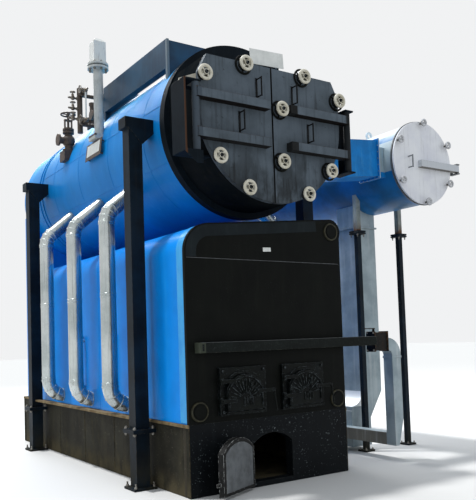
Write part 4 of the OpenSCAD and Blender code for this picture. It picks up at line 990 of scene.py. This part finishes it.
class OBJECT_OT_boiler_bolts(Operator):
    """Nuts of the column joints, post plates, duct flanges and level stand"""

    bl_idname = "boiler.bolts"
    bl_label = "Bolts"

    def execute(self, context):
        square = np.array([(x, y, 0) for x in (-1, 1) for y in (-1, 1)], float)
        parts = []
        for side in ("left", "right"):
            low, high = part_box("columns_" + side)
            x = math.copysign(COLUMN_X, low.x)
            for y in (low.y + 0.125, high.y - 0.125):
                spots = np.array([x, y, 0]) + 0.1 * square
                parts += nuts(spots + 0.6 * Z, Z, 0.03, 0.02) + nuts(spots + 0.56 * Z, -Z, 0.03, 0.02)
                parts += nuts(spots + 0.02 * Z, Z, 0.03, 0.02, 1.5)
        for x in (-0.3775, 0.3775):
            for y in (0.77, 2.95):
                spots = np.array([VESSEL_X + x, y, 0]) + 0.056 * square
                parts += nuts(spots + 0.02 * Z, Z, 0.022, 0.014, 1.0)
                parts += nuts(spots + 2.756 * Z, -Z, 0.022, 0.014, 1.6)
        low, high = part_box("level_controller")
        collar = high.z - 0.385
        t = np.radians(np.arange(0, 360, 45))
        spots = np.array([*STAND, collar]) + 0.105 * np.stack([np.cos(t), np.sin(t), 0 * t], 1)
        parts += nuts(spots + 0.07 * Z, Z, 0.026, 0.016) + nuts(spots, -Z, 0.026, 0.016)
        parts.append(turned([(0.009, 0.02), (0.009, 0.05)], spots, Z, 8))
        spots = [(1.405, y, z) for y in (-0.052, 0.052) for z in (1.293, 1.487)]
        parts += nuts(spots, -X, 0.02, 0.012)
        piece("joint_nuts", parts, M["bolt"])
        heads = []
        for y in np.linspace(0.128, 0.452, 6):
            heads += rivets([(1.783, y, z) for z in (3.347, 3.803)], -X, 0.007)
        for z in np.linspace(3.42, 3.73, 5):
            heads += rivets([(1.783, y, z) for y in (0.128, 0.452)], -X, 0.007)
        for x in np.linspace(2.07, 2.43, 6):
            heads += rivets([(x, y, 2.88) for y in (0.86, 1.23)], Z, 0.006)
        piece("flange_rivets", heads, M["zinc"])
        return {"FINISHED"}


class VIEW3D_PT_boiler(Panel):
    """Lists the pieces of the boiler"""

    bl_label = "Boiler"
    bl_space_type = "VIEW_3D"
    bl_region_type = "UI"
    bl_category = "Boiler"

    def draw(self, context):
        for group in (context.scene.boiler_colours, context.scene.boiler_sizes, context.scene.boiler_stage):
            for name in group.bl_rna.properties.keys():
                if name not in ("rna_type", "name"):
                    self.layout.prop(group, name)
        for operator in PIECES:
            self.layout.operator(operator.bl_idname)


GROUPS = (BoilerColours, BoilerSizes, BoilerStage)
PIECES = (OBJECT_OT_boiler_stage, OBJECT_OT_boiler_finishes, OBJECT_OT_boiler_base_trim,
          OBJECT_OT_boiler_cladding_laps, OBJECT_OT_boiler_pipe_beads, OBJECT_OT_boiler_smokebox_trim,
          OBJECT_OT_boiler_front_trim, OBJECT_OT_boiler_ash_plate, OBJECT_OT_boiler_number_plate,
          OBJECT_OT_boiler_bolts, OBJECT_OT_boiler_gauge_cocks)
PLACES = {"boiler_colours": BoilerColours, "boiler_sizes": BoilerSizes, "boiler_stage": BoilerStage}


def register():
    """Register the classes and hang the settings on the scene."""
    for kind in (*GROUPS, *PIECES, VIEW3D_PT_boiler):
        bpy.utils.register_class(kind)
    for name, kind in PLACES.items():
        setattr(bpy.types.Scene, name, PointerProperty(type=kind))


def unregister():
    """Undo register."""
    for name in PLACES:
        delattr(bpy.types.Scene, name)
    for kind in reversed((*GROUPS, *PIECES, VIEW3D_PT_boiler)):
        bpy.utils.unregister_class(kind)


def main():
    """Build every piece in order."""
    register()
    for operator in PIECES:
        getattr(bpy.ops.boiler, operator.bl_idname.split(".")[1])()


if __name__ == "__main__":
    main()
